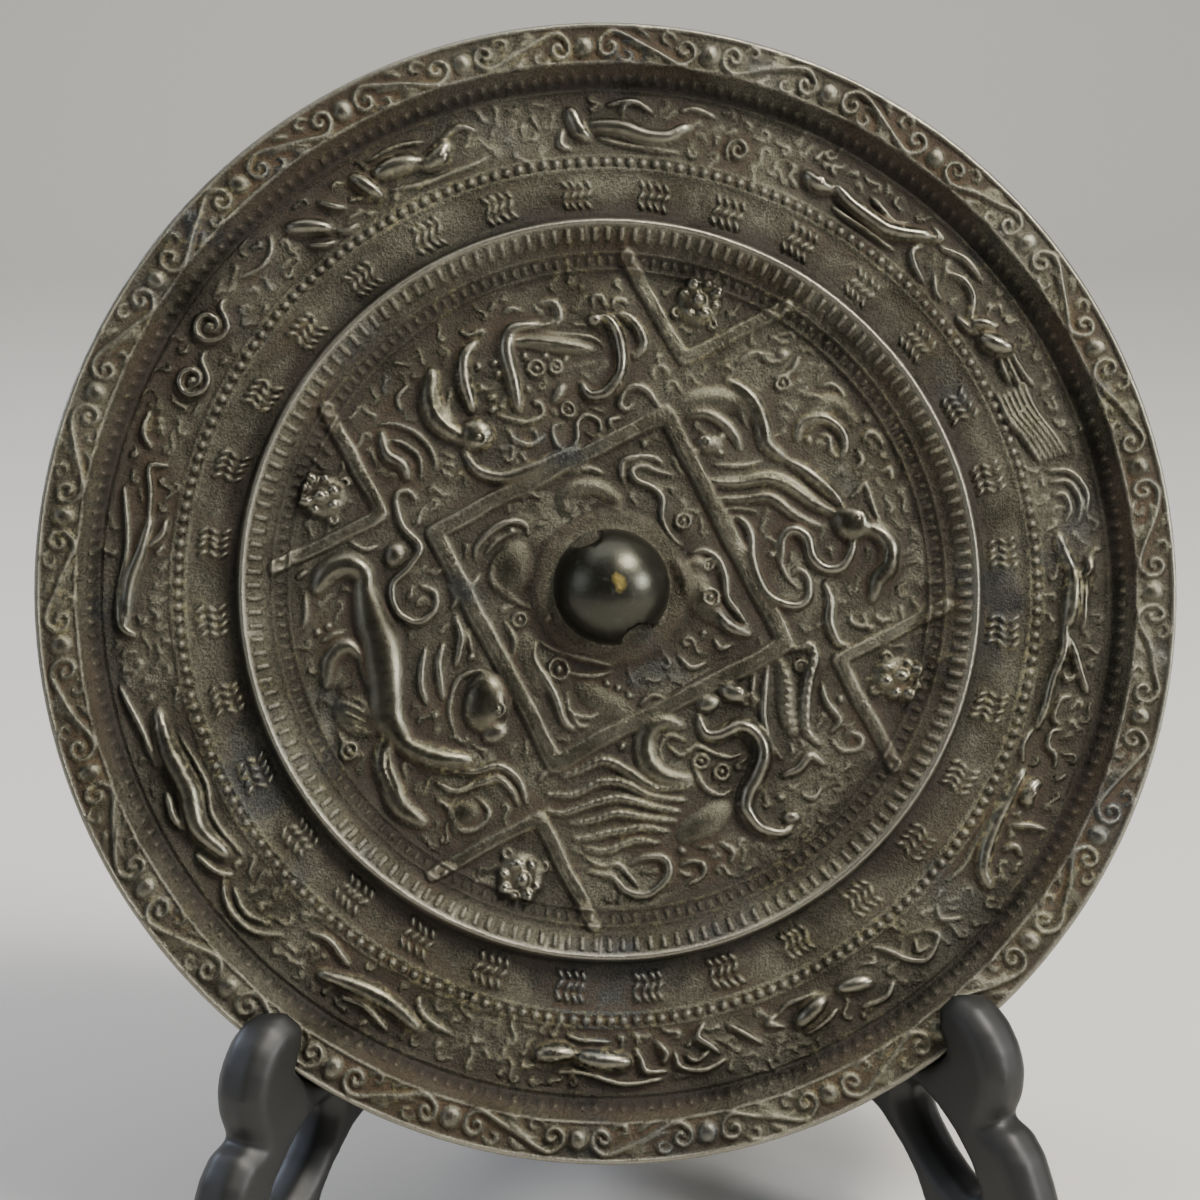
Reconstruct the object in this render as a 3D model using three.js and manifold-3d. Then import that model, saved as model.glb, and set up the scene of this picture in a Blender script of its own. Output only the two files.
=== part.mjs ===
// Ancient bronze mirror, back outwards, leaning on a two-leaf folding stand of moulded plastic.
// Millimetres, +Z up, +X to the right of someone looking at the ornament, -Y towards them.

import * as THREE from "three";
import { mergeVertices } from "three/addons/utils/BufferGeometryUtils.js";
import Module from "manifold-3d";

// Mirror, in its own frame: X right and Y up in the plane of the disc, Z out of the ornament,
// Z = 0 at the middle of the reflecting face.
const mirrorRadius = 107.5;
const faceBulge = 1.2; // how far the reflecting face swells at its middle
const fieldFloor = 3.0; // inner field with the four beasts
const bandFloor = 4.5; // band of strokes outside the sharp ridge, and band of the twelve animals
const rimFloor = 8.3; // scrolled border
const rimEdgeTop = 8.9;
const ridgeRadius = 69.5;
const ridgeTop = 7.4;
const combFoot = 4.4; // foot of the toothed slope inside the ridge
const fieldRadius = 60.6;
const discSides = 56;
const patternTurn = 26.4; // degrees the square and the animals are turned anticlockwise

// Knob with its cord hole
const knobRadius = 11;
const knobTop = 13.2;
const knobSeatRadius = 15.4;
const knobSeatTop = 3.7;
const cordHoleWidth = 6.4;
const cordHoleHeight = 5.4;
const cordHoleTurn = -63.5;

// Square, corner Vs and masks
const squareHalf = 24.75;
const barWidth = 3.6;
const barRise = 1.0;
const cornerVReach = 45.6;
const cornerBarWidth = 2.9;
const maskReach = 57.2;
const maskWidth = 8.6;

// Border
const bossCount = 27;
const bossReach = 103.2;
const bossRadius = 1.75;
const bossRise = 1.0;
const bossStart = 13.4; // degrees
const stemLength = 15; // slanting scroll between two bosses
const stemSlant = 14; // degrees off the rim's direction

// Stand: two leaves hinged on an upright pin, each set off the middle plane by leafTurn
const leanDegrees = 18; // mirror leans back from upright
const mirrorMiddleHeight = 125;
const leafTurn = 36;
const leafThickness = 11;
const leafBevel = 3;
const hingeSetBack = 55.1; // hinge axis behind the mirror's middle
const pinRadius = 2.4;
const barrelRadius = 6.4;
const barrelWall = 3.5;
const barrelSides = 12;
const leafStart = 9.2; // where a leaf's plate begins, out from the hinge axis
const postTop = 118;
const runningGap = 0.4;

const wasm = await Module();
wasm.setup();

// ---------- helpers ----------

function bare(geometry) {
  const copy = geometry.clone();
  copy.deleteAttribute("normal");
  copy.deleteAttribute("uv");
  return mergeVertices(copy, 1e-4);
}

function toSolid(geometry) {
  const merged = bare(geometry);
  return new wasm.Manifold(new wasm.Mesh({
    numProp: 3,
    vertProperties: new Float32Array(merged.attributes.position.array),
    triVerts: new Uint32Array(merged.index.array),
  }));
}

function toGeometry(solid) {
  const mesh = solid.getMesh();
  const geometry = new THREE.BufferGeometry();
  geometry.setAttribute("position", new THREE.BufferAttribute(new Float32Array(mesh.vertProperties), 3));
  geometry.setIndex(new THREE.BufferAttribute(new Uint32Array(mesh.triVerts), 1));
  geometry.computeVertexNormals();
  return geometry;
}

function joined(first, others) {
  return others.reduce((sum, next) => sum.add(toSolid(next)), first);
}

function placed(geometry, x, y, z, turnDegrees = 0) {
  geometry.rotateZ(THREE.MathUtils.degToRad(turnDegrees));
  geometry.translate(x, y, z);
  return geometry;
}

function around(degrees, reach) {
  const turn = THREE.MathUtils.degToRad(degrees);
  return [reach * Math.cos(turn), reach * Math.sin(turn)];
}

// A raised limb: a rod with few sides, bent along a curve and half sunk in the ground.
// It swells to its full width in the middle and thins to thinEnd of it at both tips.
function limb(points, width, rise, ground, { sides = 4, steps = points.length - 1, thinEnd = 0.45 } = {}) {
  const curve = new THREE.CatmullRomCurve3(points.map(([x, y]) => new THREE.Vector3(x, y, 0)));
  const rod = new THREE.CylinderGeometry(1, 1, 1, sides, steps);
  const spot = rod.attributes.position;
  for (let i = 0; i < spot.count; i += 1) {
    const along = THREE.MathUtils.clamp(spot.getY(i) + 0.5, 0, 1);
    const middle = curve.getPointAt(along);
    const ahead = curve.getTangentAt(along);
    const swell = thinEnd + (1 - thinEnd) * Math.sin(Math.PI * along) ** 0.5;
    const aside = -0.5 * width * swell * spot.getX(i);
    const up = rise * swell * spot.getZ(i);
    spot.setXYZ(i, middle.x - ahead.y * aside, middle.y + ahead.x * aside, ground - 0.12 + up);
  }
  return rod;
}

// A rounded lump for a head, an eye or a boss.
function lump(x, y, ground, halfLength, halfWidth, rise, turnDegrees = 0, sides = 6) {
  const ball = new THREE.SphereGeometry(1, sides, 4);
  ball.rotateX(Math.PI / 2);
  ball.scale(halfLength, halfWidth, rise);
  return placed(ball, x, y, ground - 0.12, turnDegrees);
}

// A small boss, bead or eye.
function bead(x, y, ground, radius, rise) {
  const cone = new THREE.ConeGeometry(radius, 2 * rise, 5);
  cone.rotateX(Math.PI / 2);
  return placed(cone, x, y, ground);
}

// ---------- mirror ----------

function faceHeight(reach) {
  return faceBulge * (reach / mirrorRadius) ** 2;
}

function discProfile() {
  const knob = [0.3, 0.66, 0.91].map((lift) => [
    knobRadius * Math.sqrt(1 - lift ** 2),
    knobSeatTop + (knobTop - knobSeatTop) * lift,
  ]);
  return [
    [0, 0],
    [60, faceHeight(60)],
    [106.2, faceHeight(106.2)],
    [mirrorRadius, 2.4],
    [mirrorRadius, rimEdgeTop - 0.3],
    [106.9, rimEdgeTop],
    [106.4, rimFloor],
    [99.8, rimFloor],
    [96.0, bandFloor],
    [70.7, bandFloor],
    [ridgeRadius, ridgeTop],
    [64.3, combFoot],
    [fieldRadius, fieldFloor],
    [knobSeatRadius, fieldFloor],
    [knobSeatRadius - 0.7, knobSeatTop],
    [knobRadius, knobSeatTop + 0.1],
    ...knob,
    [0, knobTop],
  ].map(([x, y]) => new THREE.Vector2(x, y));
}

function disc() {
  const body = new THREE.LatheGeometry(discProfile(), discSides);
  body.rotateX(Math.PI / 2);
  return toSolid(body);
}

// The hole for the cord: an arch-topped tunnel through the foot of the knob.
function cordHole() {
  const half = cordHoleWidth / 2;
  const arch = new THREE.Shape();
  arch.moveTo(-half, 0);
  arch.lineTo(half, 0);
  arch.lineTo(half, cordHoleHeight - half);
  arch.absarc(0, cordHoleHeight - half, half, 0, Math.PI, false);
  const length = 2 * knobRadius + 4;
  const tunnel = new THREE.ExtrudeGeometry(arch, { depth: length, bevelEnabled: false, curveSegments: 4 });
  tunnel.translate(0, 0, -length / 2);
  tunnel.rotateX(Math.PI / 2);
  tunnel.rotateZ(THREE.MathUtils.degToRad(cordHoleTurn + 90));
  tunnel.translate(0, 0, knobSeatTop + 0.15);
  return toSolid(tunnel);
}

function squareFrame() {
  const outline = new THREE.Shape();
  const edge = squareHalf + barWidth / 2;
  outline.moveTo(-edge, -edge).lineTo(edge, -edge).lineTo(edge, edge).lineTo(-edge, edge);
  const hole = new THREE.Path();
  const inner = squareHalf - barWidth / 2;
  hole.moveTo(-inner, -inner).lineTo(-inner, inner).lineTo(inner, inner).lineTo(inner, -inner);
  outline.holes.push(hole);
  const frame = new THREE.ExtrudeGeometry(outline, { depth: barRise + 1, bevelEnabled: false });
  return placed(frame, 0, 0, fieldFloor - 1, patternTurn);
}

// One V opposite each corner of the square, with a crouching mask in its mouth.
function cornerV(turnDegrees) {
  const armLength = 22.5;
  const arm = cornerBarWidth / Math.SQRT2;
  const outline = new THREE.Shape();
  const far = armLength / Math.SQRT2;
  outline.moveTo(cornerVReach - arm, 0);
  outline.lineTo(cornerVReach + far - arm / 2, far + arm / 2);
  outline.lineTo(cornerVReach + far + arm / 2, far - arm / 2);
  outline.lineTo(cornerVReach + arm, 0);
  outline.lineTo(cornerVReach + far + arm / 2, -far + arm / 2);
  outline.lineTo(cornerVReach + far - arm / 2, -far - arm / 2);
  const bars = new THREE.ExtrudeGeometry(outline, { depth: barRise + 0.9, bevelEnabled: false });
  return placed(bars, 0, 0, fieldFloor - 1, turnDegrees);
}

function mask(turnDegrees) {
  const [x, y] = around(turnDegrees, maskReach);
  const parts = [lump(x, y, fieldFloor, 0.46 * maskWidth, 0.5 * maskWidth, 2.0, turnDegrees)];
  const knobs = 4;
  for (let i = 0; i < knobs; i += 1) {
    const [aside, out] = around(((i + 0.5) * 360) / knobs + turnDegrees, 0.3 * maskWidth);
    parts.push(bead(x + aside, y + out, fieldFloor + 1.0, 3.0, 1.9));
  }
  return parts;
}

// ---------- the four beasts in the field and the head in the square ----------

const bold = { sides: 6 };

function snakeAndTortoise() {
  return [
    limb([[-24.5, 46.8], [-27, 44.2], [-27.2, 39.5], [-25.6, 33.8]], 3.6, 2.4, fieldFloor, bold),
    limb([[-12.5, 50.6], [-17.4, 49.6], [-19, 46], [-18, 39.8], [-17, 33.8]], 3.6, 2.4, fieldFloor, bold),
    limb([[-33.4, 41.5], [-34.2, 36.5], [-31.5, 31.5], [-26.5, 28]], 4.6, 2.2, fieldFloor, bold),
    lump(-25, 29.3, fieldFloor, 3.6, 3.2, 2.3, 20),
    bead(-24.8, 28.8, fieldFloor + 1.6, 2.0, 1.4),
    limb([[-28, 26.8], [-25, 22.8], [-20, 21.4], [-13, 23.6], [-6.5, 26.6]], 2.6, 1.7, fieldFloor),
    limb([[-19, 46.8], [-13, 47.4], [-7, 46.6], [-1, 46.2]], 3.8, 1.9, fieldFloor),
    limb([[-3.4, 52], [0.2, 52.2], [2.6, 48], [2.8, 42.5], [0.6, 38], [-2.4, 36.8], [-4.6, 38.8]],
      3.4, 2.3, fieldFloor, bold),
    limb([[1.8, 52.4], [5, 51.6], [7.4, 47.6], [6.4, 44.4], [4.6, 45.4]], 2.2, 1.7, fieldFloor),
    limb([[-13.4, 54.6], [-10, 54.4], [-8.8, 52.4], [-10, 50.4]], 2.4, 1.5, fieldFloor),
    limb([[-4.4, 29.4], [-1.4, 29.6], [-1.6, 32.4], [-4.6, 32.8], [-6.4, 29], [-8.4, 26.4], [-10.6, 28.6],
      [-9.4, 31.4]], 1.9, 1.4, fieldFloor),
    limb([[-44, 31], [-39.6, 31], [-35.6, 29], [-33, 24.6]], 2.4, 1.6, fieldFloor),
    limb([[-43.4, 29], [-40.4, 26], [-38, 24], [-37.6, 20.6]], 3.2, 1.6, fieldFloor),
    limb([[10.6, 33.6], [8, 38], [4.4, 38.6], [2.6, 35.6], [5, 34.6]], 1.7, 1.3, fieldFloor),
    bead(-13.5, 42.2, fieldFloor, 2.4, 1.3),
    bead(-22.3, 41.6, fieldFloor, 2.6, 1.3),
    bead(-22.4, 36.6, fieldFloor, 2.6, 1.3),
  ];
}

function dragon() {
  return [
    lump(46.2, 11.6, fieldFloor, 4.2, 3.6, 2.5, -20),
    limb([[18.6, 20.2], [25, 19.6], [31, 20.4], [36.3, 18.3], [40.4, 14.8], [45, 12]], 3.4, 1.8, fieldFloor),
    limb([[20.4, 16.6], [26, 16], [31, 16.5], [36, 13.2], [40.4, 10.4]], 2.4, 1.4, fieldFloor),
    limb([[23.4, 39.6], [27.6, 35.4], [29.7, 31], [30.6, 26.6], [35.5, 23], [41, 18.5], [45, 13.6]],
      3.8, 2.0, fieldFloor),
    limb([[15, 32.6], [19.4, 32.6], [22.6, 30.6], [25.4, 26.4]], 2.2, 1.5, fieldFloor),
    lump(19.4, 27.4, fieldFloor, 3.2, 2.0, 1.3, 0),
    limb([[35.8, 26.6], [37, 31], [41.6, 31.7], [45, 29.2], [44.4, 24.6], [42.4, 26.6]], 2.2, 1.6, fieldFloor),
    limb([[33, 4.4], [32.8, 8.8], [35, 10.9], [37.8, 9], [38.8, 5.2], [41.4, 3], [44.6, 3.4], [46.4, 7],
      [46.2, 10.4]], 2.5, 2.1, fieldFloor, { ...bold, steps: 9 }),
    limb([[22.4, 12.6], [25.6, 12], [27, 8.6], [27, 4.6], [29, 0], [32.6, -3.4], [36.8, -3.4], [38, 0.6],
      [35.4, 3]], 2.1, 1.6, fieldFloor, { steps: 9 }),
    limb([[48, 11.6], [51.6, 9.8], [53.6, 6.6], [52.4, 2.2], [50.4, -2.6]], 4.4, 2.1, fieldFloor, bold),
    limb([[45.4, 15], [47.4, 17.6], [49.2, 19], [50.8, 14.4], [54.6, 8.6]], 1.7, 1.6, fieldFloor),
    limb([[41, 0.4], [42, -3.4], [41.8, -7.4], [44, -11.4]], 2.4, 1.5, fieldFloor),
    limb([[28, 43.4], [31.6, 41], [34, 38.4]], 1.8, 1.2, fieldFloor),
    limb([[48.8, 26.6], [50.2, 29], [52.6, 27.4]], 1.6, 1.1, fieldFloor),
  ];
}

function tiger() {
  return [
    limb([[-55.4, 0.6], [-53.6, 3.8], [-50, 5], [-46.8, 3.6], [-46.4, -0.4], [-44, -5.4], [-40.2, -9.4],
      [-39.2, -15], [-39, -22], [-37.6, -27.4], [-33, -31], [-27.6, -32.2]], 5.4, 2.7, fieldFloor,
      { ...bold, steps: 12, thinEnd: 0.6 }),
    lump(-24.4, -21.4, fieldFloor, 5.8, 4.2, 2.5, 78),
    bead(-22.1, -23, fieldFloor + 1.7, 2.0, 1.5),
    lump(-22.6, -27.4, fieldFloor, 2.6, 2.0, 1.7, 20),
    limb([[-29.6, -27.6], [-31, -22], [-29.4, -17.2], [-25.6, -15.2], [-21.4, -16.8], [-19.8, -21],
      [-21.2, -26]], 1.4, 1.5, fieldFloor, { steps: 7 }),
    limb([[-37, 17.6], [-38.4, 20], [-40.6, 17.6], [-39.2, 13], [-36.2, 9], [-37.6, 5], [-41, 1.8],
      [-40.8, -3], [-37.2, -5.8], [-33.6, -3.8], [-34, 0], [-37, 0.8]], 1.9, 1.7, fieldFloor, { steps: 11 }),
    lump(-41, 7, fieldFloor, 2.8, 2.2, 1.5, 60),
    limb([[-53.4, -20], [-54.4, -15], [-51.6, -10.8], [-48.4, -11.6], [-46.8, -16], [-44.2, -19]],
      3.0, 1.7, fieldFloor),
    lump(-48.4, -24.6, fieldFloor, 5, 3.6, 1.5, -35),
    limb([[-42, -26.6], [-43.6, -32], [-42.2, -37], [-38.4, -41.6]], 4.8, 2.2, fieldFloor, bold),
    limb([[-29.4, -4.6], [-28.6, -8.4], [-29.6, -14.4]], 1.9, 1.4, fieldFloor),
    limb([[-32.2, -9.6], [-33, -14], [-32, -21]], 2.2, 1.4, fieldFloor),
    limb([[-34, -36], [-30, -37.6], [-26, -36.4], [-22, -35.4], [-19, -40.6]], 2.0, 1.4, fieldFloor),
    limb([[-30, -33.6], [-24, -32.6], [-19.4, -33.4], [-17, -38.6]], 2.4, 1.5, fieldFloor),
    limb([[-31.4, -45], [-31, -41], [-28, -38.8], [-25.4, -41.4], [-27.6, -43.6]], 1.6, 1.4, fieldFloor),
  ];
}

function phoenix() {
  const feathers = [
    [[14.5, -37.6], [8, -37.8], [3, -35.2], [-2.4, -33.4], [-10, -35.4]],
    [[13, -40.3], [7, -39.6], [2, -37.4], [-4, -36.8], [-13, -38.6]],
    [[12, -42.6], [6, -41.6], [0.6, -40], [-5, -40.6], [-13, -41.6]],
    [[11.5, -44.4], [6, -43.8], [0, -42.8], [-5, -44], [-10, -44.2]],
    [[10, -46.4], [4, -45.8], [-2, -46.2], [-9, -47.4]],
    [[8, -48.8], [2, -48.4], [-3, -49.6], [-6.6, -49.6]],
  ];
  return [
    ...feathers.map((line) => limb(line, 2.3, 1.5, fieldFloor, { steps: 6 })),
    lump(22.8, -20.6, fieldFloor, 3.0, 1.9, 2.2, -25),
    limb([[24.4, -20.6], [26, -21.4], [27.6, -22.6]], 1.2, 1.3, fieldFloor, { steps: 3, thinEnd: 0.3 }),
    limb([[16, -24.6], [17.2, -27.6], [21, -28.2], [25.4, -27.2], [28, -30.6], [27.4, -35], [25, -38.8],
      [24.6, -42.4], [27, -45.8], [32.4, -46.6]], 3.9, 2.6, fieldFloor, { ...bold, steps: 9 }),
    limb([[13, -27.2], [8.6, -26.4], [6, -30], [7.4, -34.4], [13.6, -36]], 4.6, 1.9, fieldFloor),
    limb([[9.6, -29.8], [12.4, -32], [16, -30.2], [20, -31.8], [24.4, -32.2]], 1.6, 1.4, fieldFloor),
    bead(16.3, -33, fieldFloor, 2.6, 1.7),
    bead(20.3, -35.2, fieldFloor, 2.6, 1.7),
    limb([[15, -34.6], [17, -38.4], [21.4, -39]], 1.6, 1.3, fieldFloor),
    lump(17, -44.6, fieldFloor, 5.6, 3.0, 1.3, 35),
    limb([[-5.4, -53.6], [-0.6, -54.6], [2.6, -57.4], [7.6, -56.8], [9, -53], [5.4, -51.2]],
      1.9, 1.4, fieldFloor, { steps: 7 }),
    limb([[31.4, -36.2], [34.6, -35], [37.2, -33.2], [40.4, -34.8]], 2.2, 1.7, fieldFloor),
    limb([[29.4, -14.6], [28.4, -20], [28.8, -25.6], [31.4, -32]], 1.7, 1.4, fieldFloor),
    limb([[32, -13.8], [33.2, -19], [33, -25], [34.6, -29]], 3.6, 1.3, fieldFloor),
    limb([[35, -12.6], [37.8, -11.8], [38.6, -15.6], [36.8, -21], [36.6, -27], [39.4, -31]],
      2.6, 1.7, fieldFloor, { steps: 7 }),
    limb([[41, -29.2], [44, -32], [47.2, -30], [45, -28.4]], 1.7, 1.3, fieldFloor),
  ];
}

function squareBeast() {
  return [
    lump(-18.6, 3.6, fieldFloor, 5.6, 3.6, 1.2, 80),
    limb([[-15.4, 10.2], [-18.6, 12.6], [-23, 10.8], [-25.4, 6.4]], 2.4, 1.4, fieldFloor),
    limb([[-8, 13.4], [-8.6, 17.4], [-4, 19.4], [1, 17.4], [1.6, 14.6]], 3.4, 1.1, fieldFloor),
    limb([[2.6, 20], [3, 23.8], [7.4, 24.6], [11.6, 22]], 2.0, 1.5, fieldFloor),
    limb([[4.6, 20.4], [9, 17.8], [10.6, 13], [14.4, 7.4]], 2.2, 1.5, fieldFloor),
    limb([[15, 6], [19.4, 6], [21.6, 1.6], [22, -3], [24.4, -7.4]], 2.2, 1.5, fieldFloor),
    bead(18.7, 4, fieldFloor, 2.2, 1.5),
    bead(18.8, -2.3, fieldFloor, 2.8, 1.6),
    limb([[19.6, -4.6], [22, -8.2], [26.6, -9]], 2.8, 1.6, fieldFloor),
    limb([[-14.6, -9.6], [-13.4, -16], [-10.6, -22], [-7.4, -27]], 2.8, 1.4, fieldFloor),
    bead(-10.3, -15.5, fieldFloor, 3.2, 1.9),
    limb([[-13, -11], [-7, -14.6], [0, -16.4], [3.4, -20]], 2.6, 1.4, fieldFloor),
    limb([[-8.6, -20], [-7.4, -24.2], [-2.4, -24]], 1.8, 1.2, fieldFloor),
  ];
}

// ---------- the twelve animals, as [degrees, reach] paths round the outer band ----------

const animalPaths = [
  [[[91.5, 88.4], [87, 88.2], [83.6, 87], [81, 88], [79.2, 91]], 3.6],
  [[[93.6, 91.6], [92.8, 87.4], [90.4, 85.6]], 3.0],
  [[[63.6, 87.2], [59, 88.6], [55, 87.4], [51.6, 87.4], [49, 89.4], [46.2, 92.4]], 4.0],
  [[[35.6, 85.6], [33, 86.6], [31, 88.4], [29.4, 90.6]], 4.8],
  [[[27, 88.8], [23.6, 85.8], [20, 85.4], [15.6, 90]], 4.4],
  [[[1.6, 90.6], [-1.6, 88], [-4.4, 86.8], [-9, 87.2], [-13.6, 85.6]], 3.2],
  [[[-5, 87.4], [-9, 90], [-13, 93]], 2.0],
  [[[2, 92.2], [-1, 91], [-5, 89.6]], 1.8],
  [[[-25.4, 85.6], [-30, 84.6], [-35, 85.6], [-38.4, 88], [-39.8, 91]], 3.0],
  [[[-25, 89.6], [-27.6, 87.4], [-30.4, 90.4]], 4.0],
  [[[-60.6, 89.4], [-63.4, 85.6], [-67, 87.6], [-69, 90.4]], 3.8],
  [[[-53, 91], [-56, 87.6], [-60, 87]], 2.6],
  [[[-84.6, 91.6], [-88.6, 92.6], [-92, 90], [-95, 88.2]], 4.0],
  [[[-95.6, 87.4], [-98, 88], [-100.4, 87]], 3.4],
  [[[-85.4, 89], [-85, 85.4], [-87, 84.6]], 2.0],
  [[[-116, 90.4], [-121, 88.6], [-125.6, 89.4], [-128.4, 92]], 3.8],
  [[[-127, 86.4], [-130.6, 84.8]], 2.0],
  [[[214, 87.4], [210, 90], [205, 88.8], [200, 89.4], [195.6, 88]], 4.6],
  [[[200, 91], [195.6, 92.6], [191, 93.8]], 1.9],
  [[[184, 91.6], [179, 90.6], [174.6, 88.8], [170, 87.4]], 2.8],
  [[[175, 91.6], [171, 92], [167, 93.2]], 1.8],
  [[[130.6, 92.4], [128.4, 89.6], [126.6, 86]], 3.6],
  [[[121.6, 92], [120.4, 89], [119.4, 85.8]], 3.0],
  [[[117.6, 89.6], [115.6, 89.6], [113.4, 88.6]], 4.4],
  [[[112.6, 87.8], [110.8, 88.6], [108.6, 90.8]], 4.2],
  [[[43.6, 91], [40, 92], [36.6, 89], [38.6, 86.6]], 1.9],
  [[[13.4, 88.6], [10, 92], [6, 90.6], [5.4, 86.4]], 1.9],
  [[[-44.6, 87.6], [-48, 91], [-52, 88.6]], 2.2],
  [[[-77, 89.4], [-81, 90.8], [-83, 87]], 2.0],
  [[[-105, 86.4], [-109, 89.6], [-113, 87]], 2.0],
  [[[226, 90], [221.4, 91.6], [217, 88.6]], 2.2],
  [[[192, 88], [189, 90.4], [186, 87]], 2.0],
  [[[164, 88], [161.6, 91.4], [158.6, 88]], 2.0],
];

// The coiled snake is two rings; the rosette between two animals is one.
const coilRings = [[146, 90.4, 3.4], [152.8, 88.2, 3.2], [72.8, 87.4, 2.1]];

function animals() {
  const strokes = animalPaths.map(([path, width]) => limb(
    path.map(([degrees, reach]) => around(degrees, reach)),
    width,
    0.9 + 0.3 * width,
    bandFloor,
    { sides: width > 3.5 ? 6 : 4 },
  ));
  const rings = coilRings.map(([degrees, reach, radius]) => {
    const [x, y] = around(degrees, reach);
    const ring = new THREE.TorusGeometry(radius, 0.75, 4, 8);
    return placed(ring, x, y, bandFloor + 0.35);
  });
  return [...strokes, ...rings];
}

// ---------- border: bosses with a slanting double-ended scroll between each pair ----------

function border() {
  const pieces = [];
  const pitch = 360 / bossCount;
  for (let i = 0; i < bossCount; i += 1) {
    const at = bossStart + i * pitch;
    const [x, y] = around(at, bossReach);
    pieces.push(bead(x, y, rimFloor, 2 * bossRadius, bossRise));
    const slant = i % 2 === 0 ? stemSlant : -stemSlant;
    const [stemX, stemY] = around(at + pitch / 2, bossReach);
    const stem = new THREE.BoxGeometry(stemLength, 1.3, 1.2);
    pieces.push(placed(stem, stemX, stemY, rimFloor, at + pitch / 2 - 90 + slant));
  }
  return pieces;
}

function mirrorGeometry() {
  const corners = [45, 135, 225, 315].map((corner) => corner + patternTurn);
  const relief = [
    squareFrame(),
    ...corners.map(cornerV),
    ...corners.flatMap(mask),
    ...snakeAndTortoise(),
    ...dragon(),
    ...tiger(),
    ...phoenix(),
    ...squareBeast(),
    ...animals(),
    ...border(),
  ];
  return toGeometry(joined(disc(), relief).subtract(cordHole()));
}

// ---------- stand ----------

// A leaf's outline in its own plane: x out from the hinge axis, y up from the table.
function leafShape() {
  const outline = new THREE.Shape();
  const bend = (points) => outline.splineThru(points.map(([x, y]) => new THREE.Vector2(x, y)));
  outline.moveTo(107, 0);
  outline.lineTo(133.5, 0);
  bend([[136, 3], [134.8, 9], [132.5, 17], [129.2, 25.5], [125, 31], [120.4, 32.6]]);
  bend([[122.4, 38], [122.2, 43.5], [119.7, 48.5], [116, 52.5], [111, 54.6], [106.5, 53.8], [102.5, 51.4]]);
  bend([[97.4, 51], [92.8, 58], [84, 77], [73.5, 103], [63, 129], [58.4, 145], [57.2, 152], [55.4, 158.4],
    [51.5, 162], [46.5, 160]]);
  bend([[38, 149], [27, 133], [17, 122], [leafStart, postTop]]);
  outline.lineTo(leafStart, 0);
  outline.lineTo(27, 0);
  bend([[31, 10], [41, 20], [56, 27.5], [72, 30.3], [87, 27.4], [95.5, 21.3], [100, 17], [103.2, 11.5],
    [105.5, 5.5], [107, 0]]);
  outline.holes.push(leafWindow(), leafSlot());
  return outline;
}

// The large opening behind the mirror.
function leafWindow() {
  const corners = [[22.4, 34], [40, 37], [58, 41.6], [70, 44], [76.6, 49.6], [75.4, 62], [68, 83],
    [58.5, 107], [49, 130], [43.6, 139.4], [37.6, 135], [29, 119], [22.8, 103], [22, 68]];
  const curve = new THREE.CatmullRomCurve3(
    corners.map(([x, y]) => new THREE.Vector3(x, y, 0)), true, "centripetal");
  return new THREE.Path(curve.getPoints(18).slice(0, -1).map(({ x, y }) => new THREE.Vector2(x, y)));
}

// The slanting eye between the front leg and the strut behind it.
function leafSlot() {
  const eye = new THREE.EllipseCurve(108, 24.6, 12.4, 4.1, 0, 2 * Math.PI, true, THREE.MathUtils.degToRad(-43));
  return new THREE.Path(eye.getPoints(12).slice(0, -1));
}

// Heights of the hinge barrels: each leaf has every other one.
const barrelSpans = { left: [[14, 38], [66, 90]], right: [[40, 64], [92, 116]] };

function upright(radius, low, high, sides = barrelSides) {
  const rod = new THREE.CylinderGeometry(radius, radius, high - low, sides);
  return placed(rod.rotateX(Math.PI / 2).rotateX(-Math.PI / 2), 0, (low + high) / 2, 0);
}

function leafGeometry(side, cutterInLeaf) {
  const plate = new THREE.ExtrudeGeometry(leafShape(), {
    depth: leafThickness - 2 * leafBevel,
    bevelThickness: leafBevel,
    bevelSize: leafBevel - 0.4,
    bevelOffset: 0.4 - leafBevel,
    bevelSegments: 1,
    curveSegments: 1,
  });
  plate.translate(0, 0, leafBevel - leafThickness / 2);
  let leaf = toSolid(plate);
  for (const [low, high] of barrelSpans[side]) {
    const web = new THREE.BoxGeometry(leafStart + 3, high - low, 2 * barrelWall);
    web.translate((leafStart + 3) / 2, (low + high) / 2, 0);
    leaf = leaf.add(toSolid(upright(barrelRadius, low, high))).add(toSolid(web));
  }
  const bore = toSolid(upright(pinRadius + runningGap, -5, postTop + 5));
  return toGeometry(leaf.subtract(bore).subtract(cutterInLeaf));
}

// The disc swollen all round by the gap, which shapes each leaf's seat and rest.
function mirrorCutter() {
  const swell = runningGap;
  const body = new THREE.LatheGeometry([
    [0, -swell],
    [55, faceHeight(55) - swell],
    [mirrorRadius + swell, faceHeight(mirrorRadius) - swell],
    [mirrorRadius + swell, rimFloor + bossRise + swell],
    [0, rimFloor + bossRise + swell],
  ].map(([x, y]) => new THREE.Vector2(x, y)), discSides);
  return body.rotateX(Math.PI / 2);
}

// ---------- assembly ----------

const bronze = new THREE.MeshStandardMaterial({ color: "#4a463b", roughness: 0.5, metalness: 0.8 });
const blackPlastic = new THREE.MeshStandardMaterial({ color: "#1d1e20", roughness: 0.38, metalness: 0 });
const steel = new THREE.MeshStandardMaterial({ color: "#8d8f92", roughness: 0.35, metalness: 1 });

function named(name, geometry, material) {
  const mesh = new THREE.Mesh(geometry, material);
  mesh.name = name;
  return mesh;
}

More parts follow.
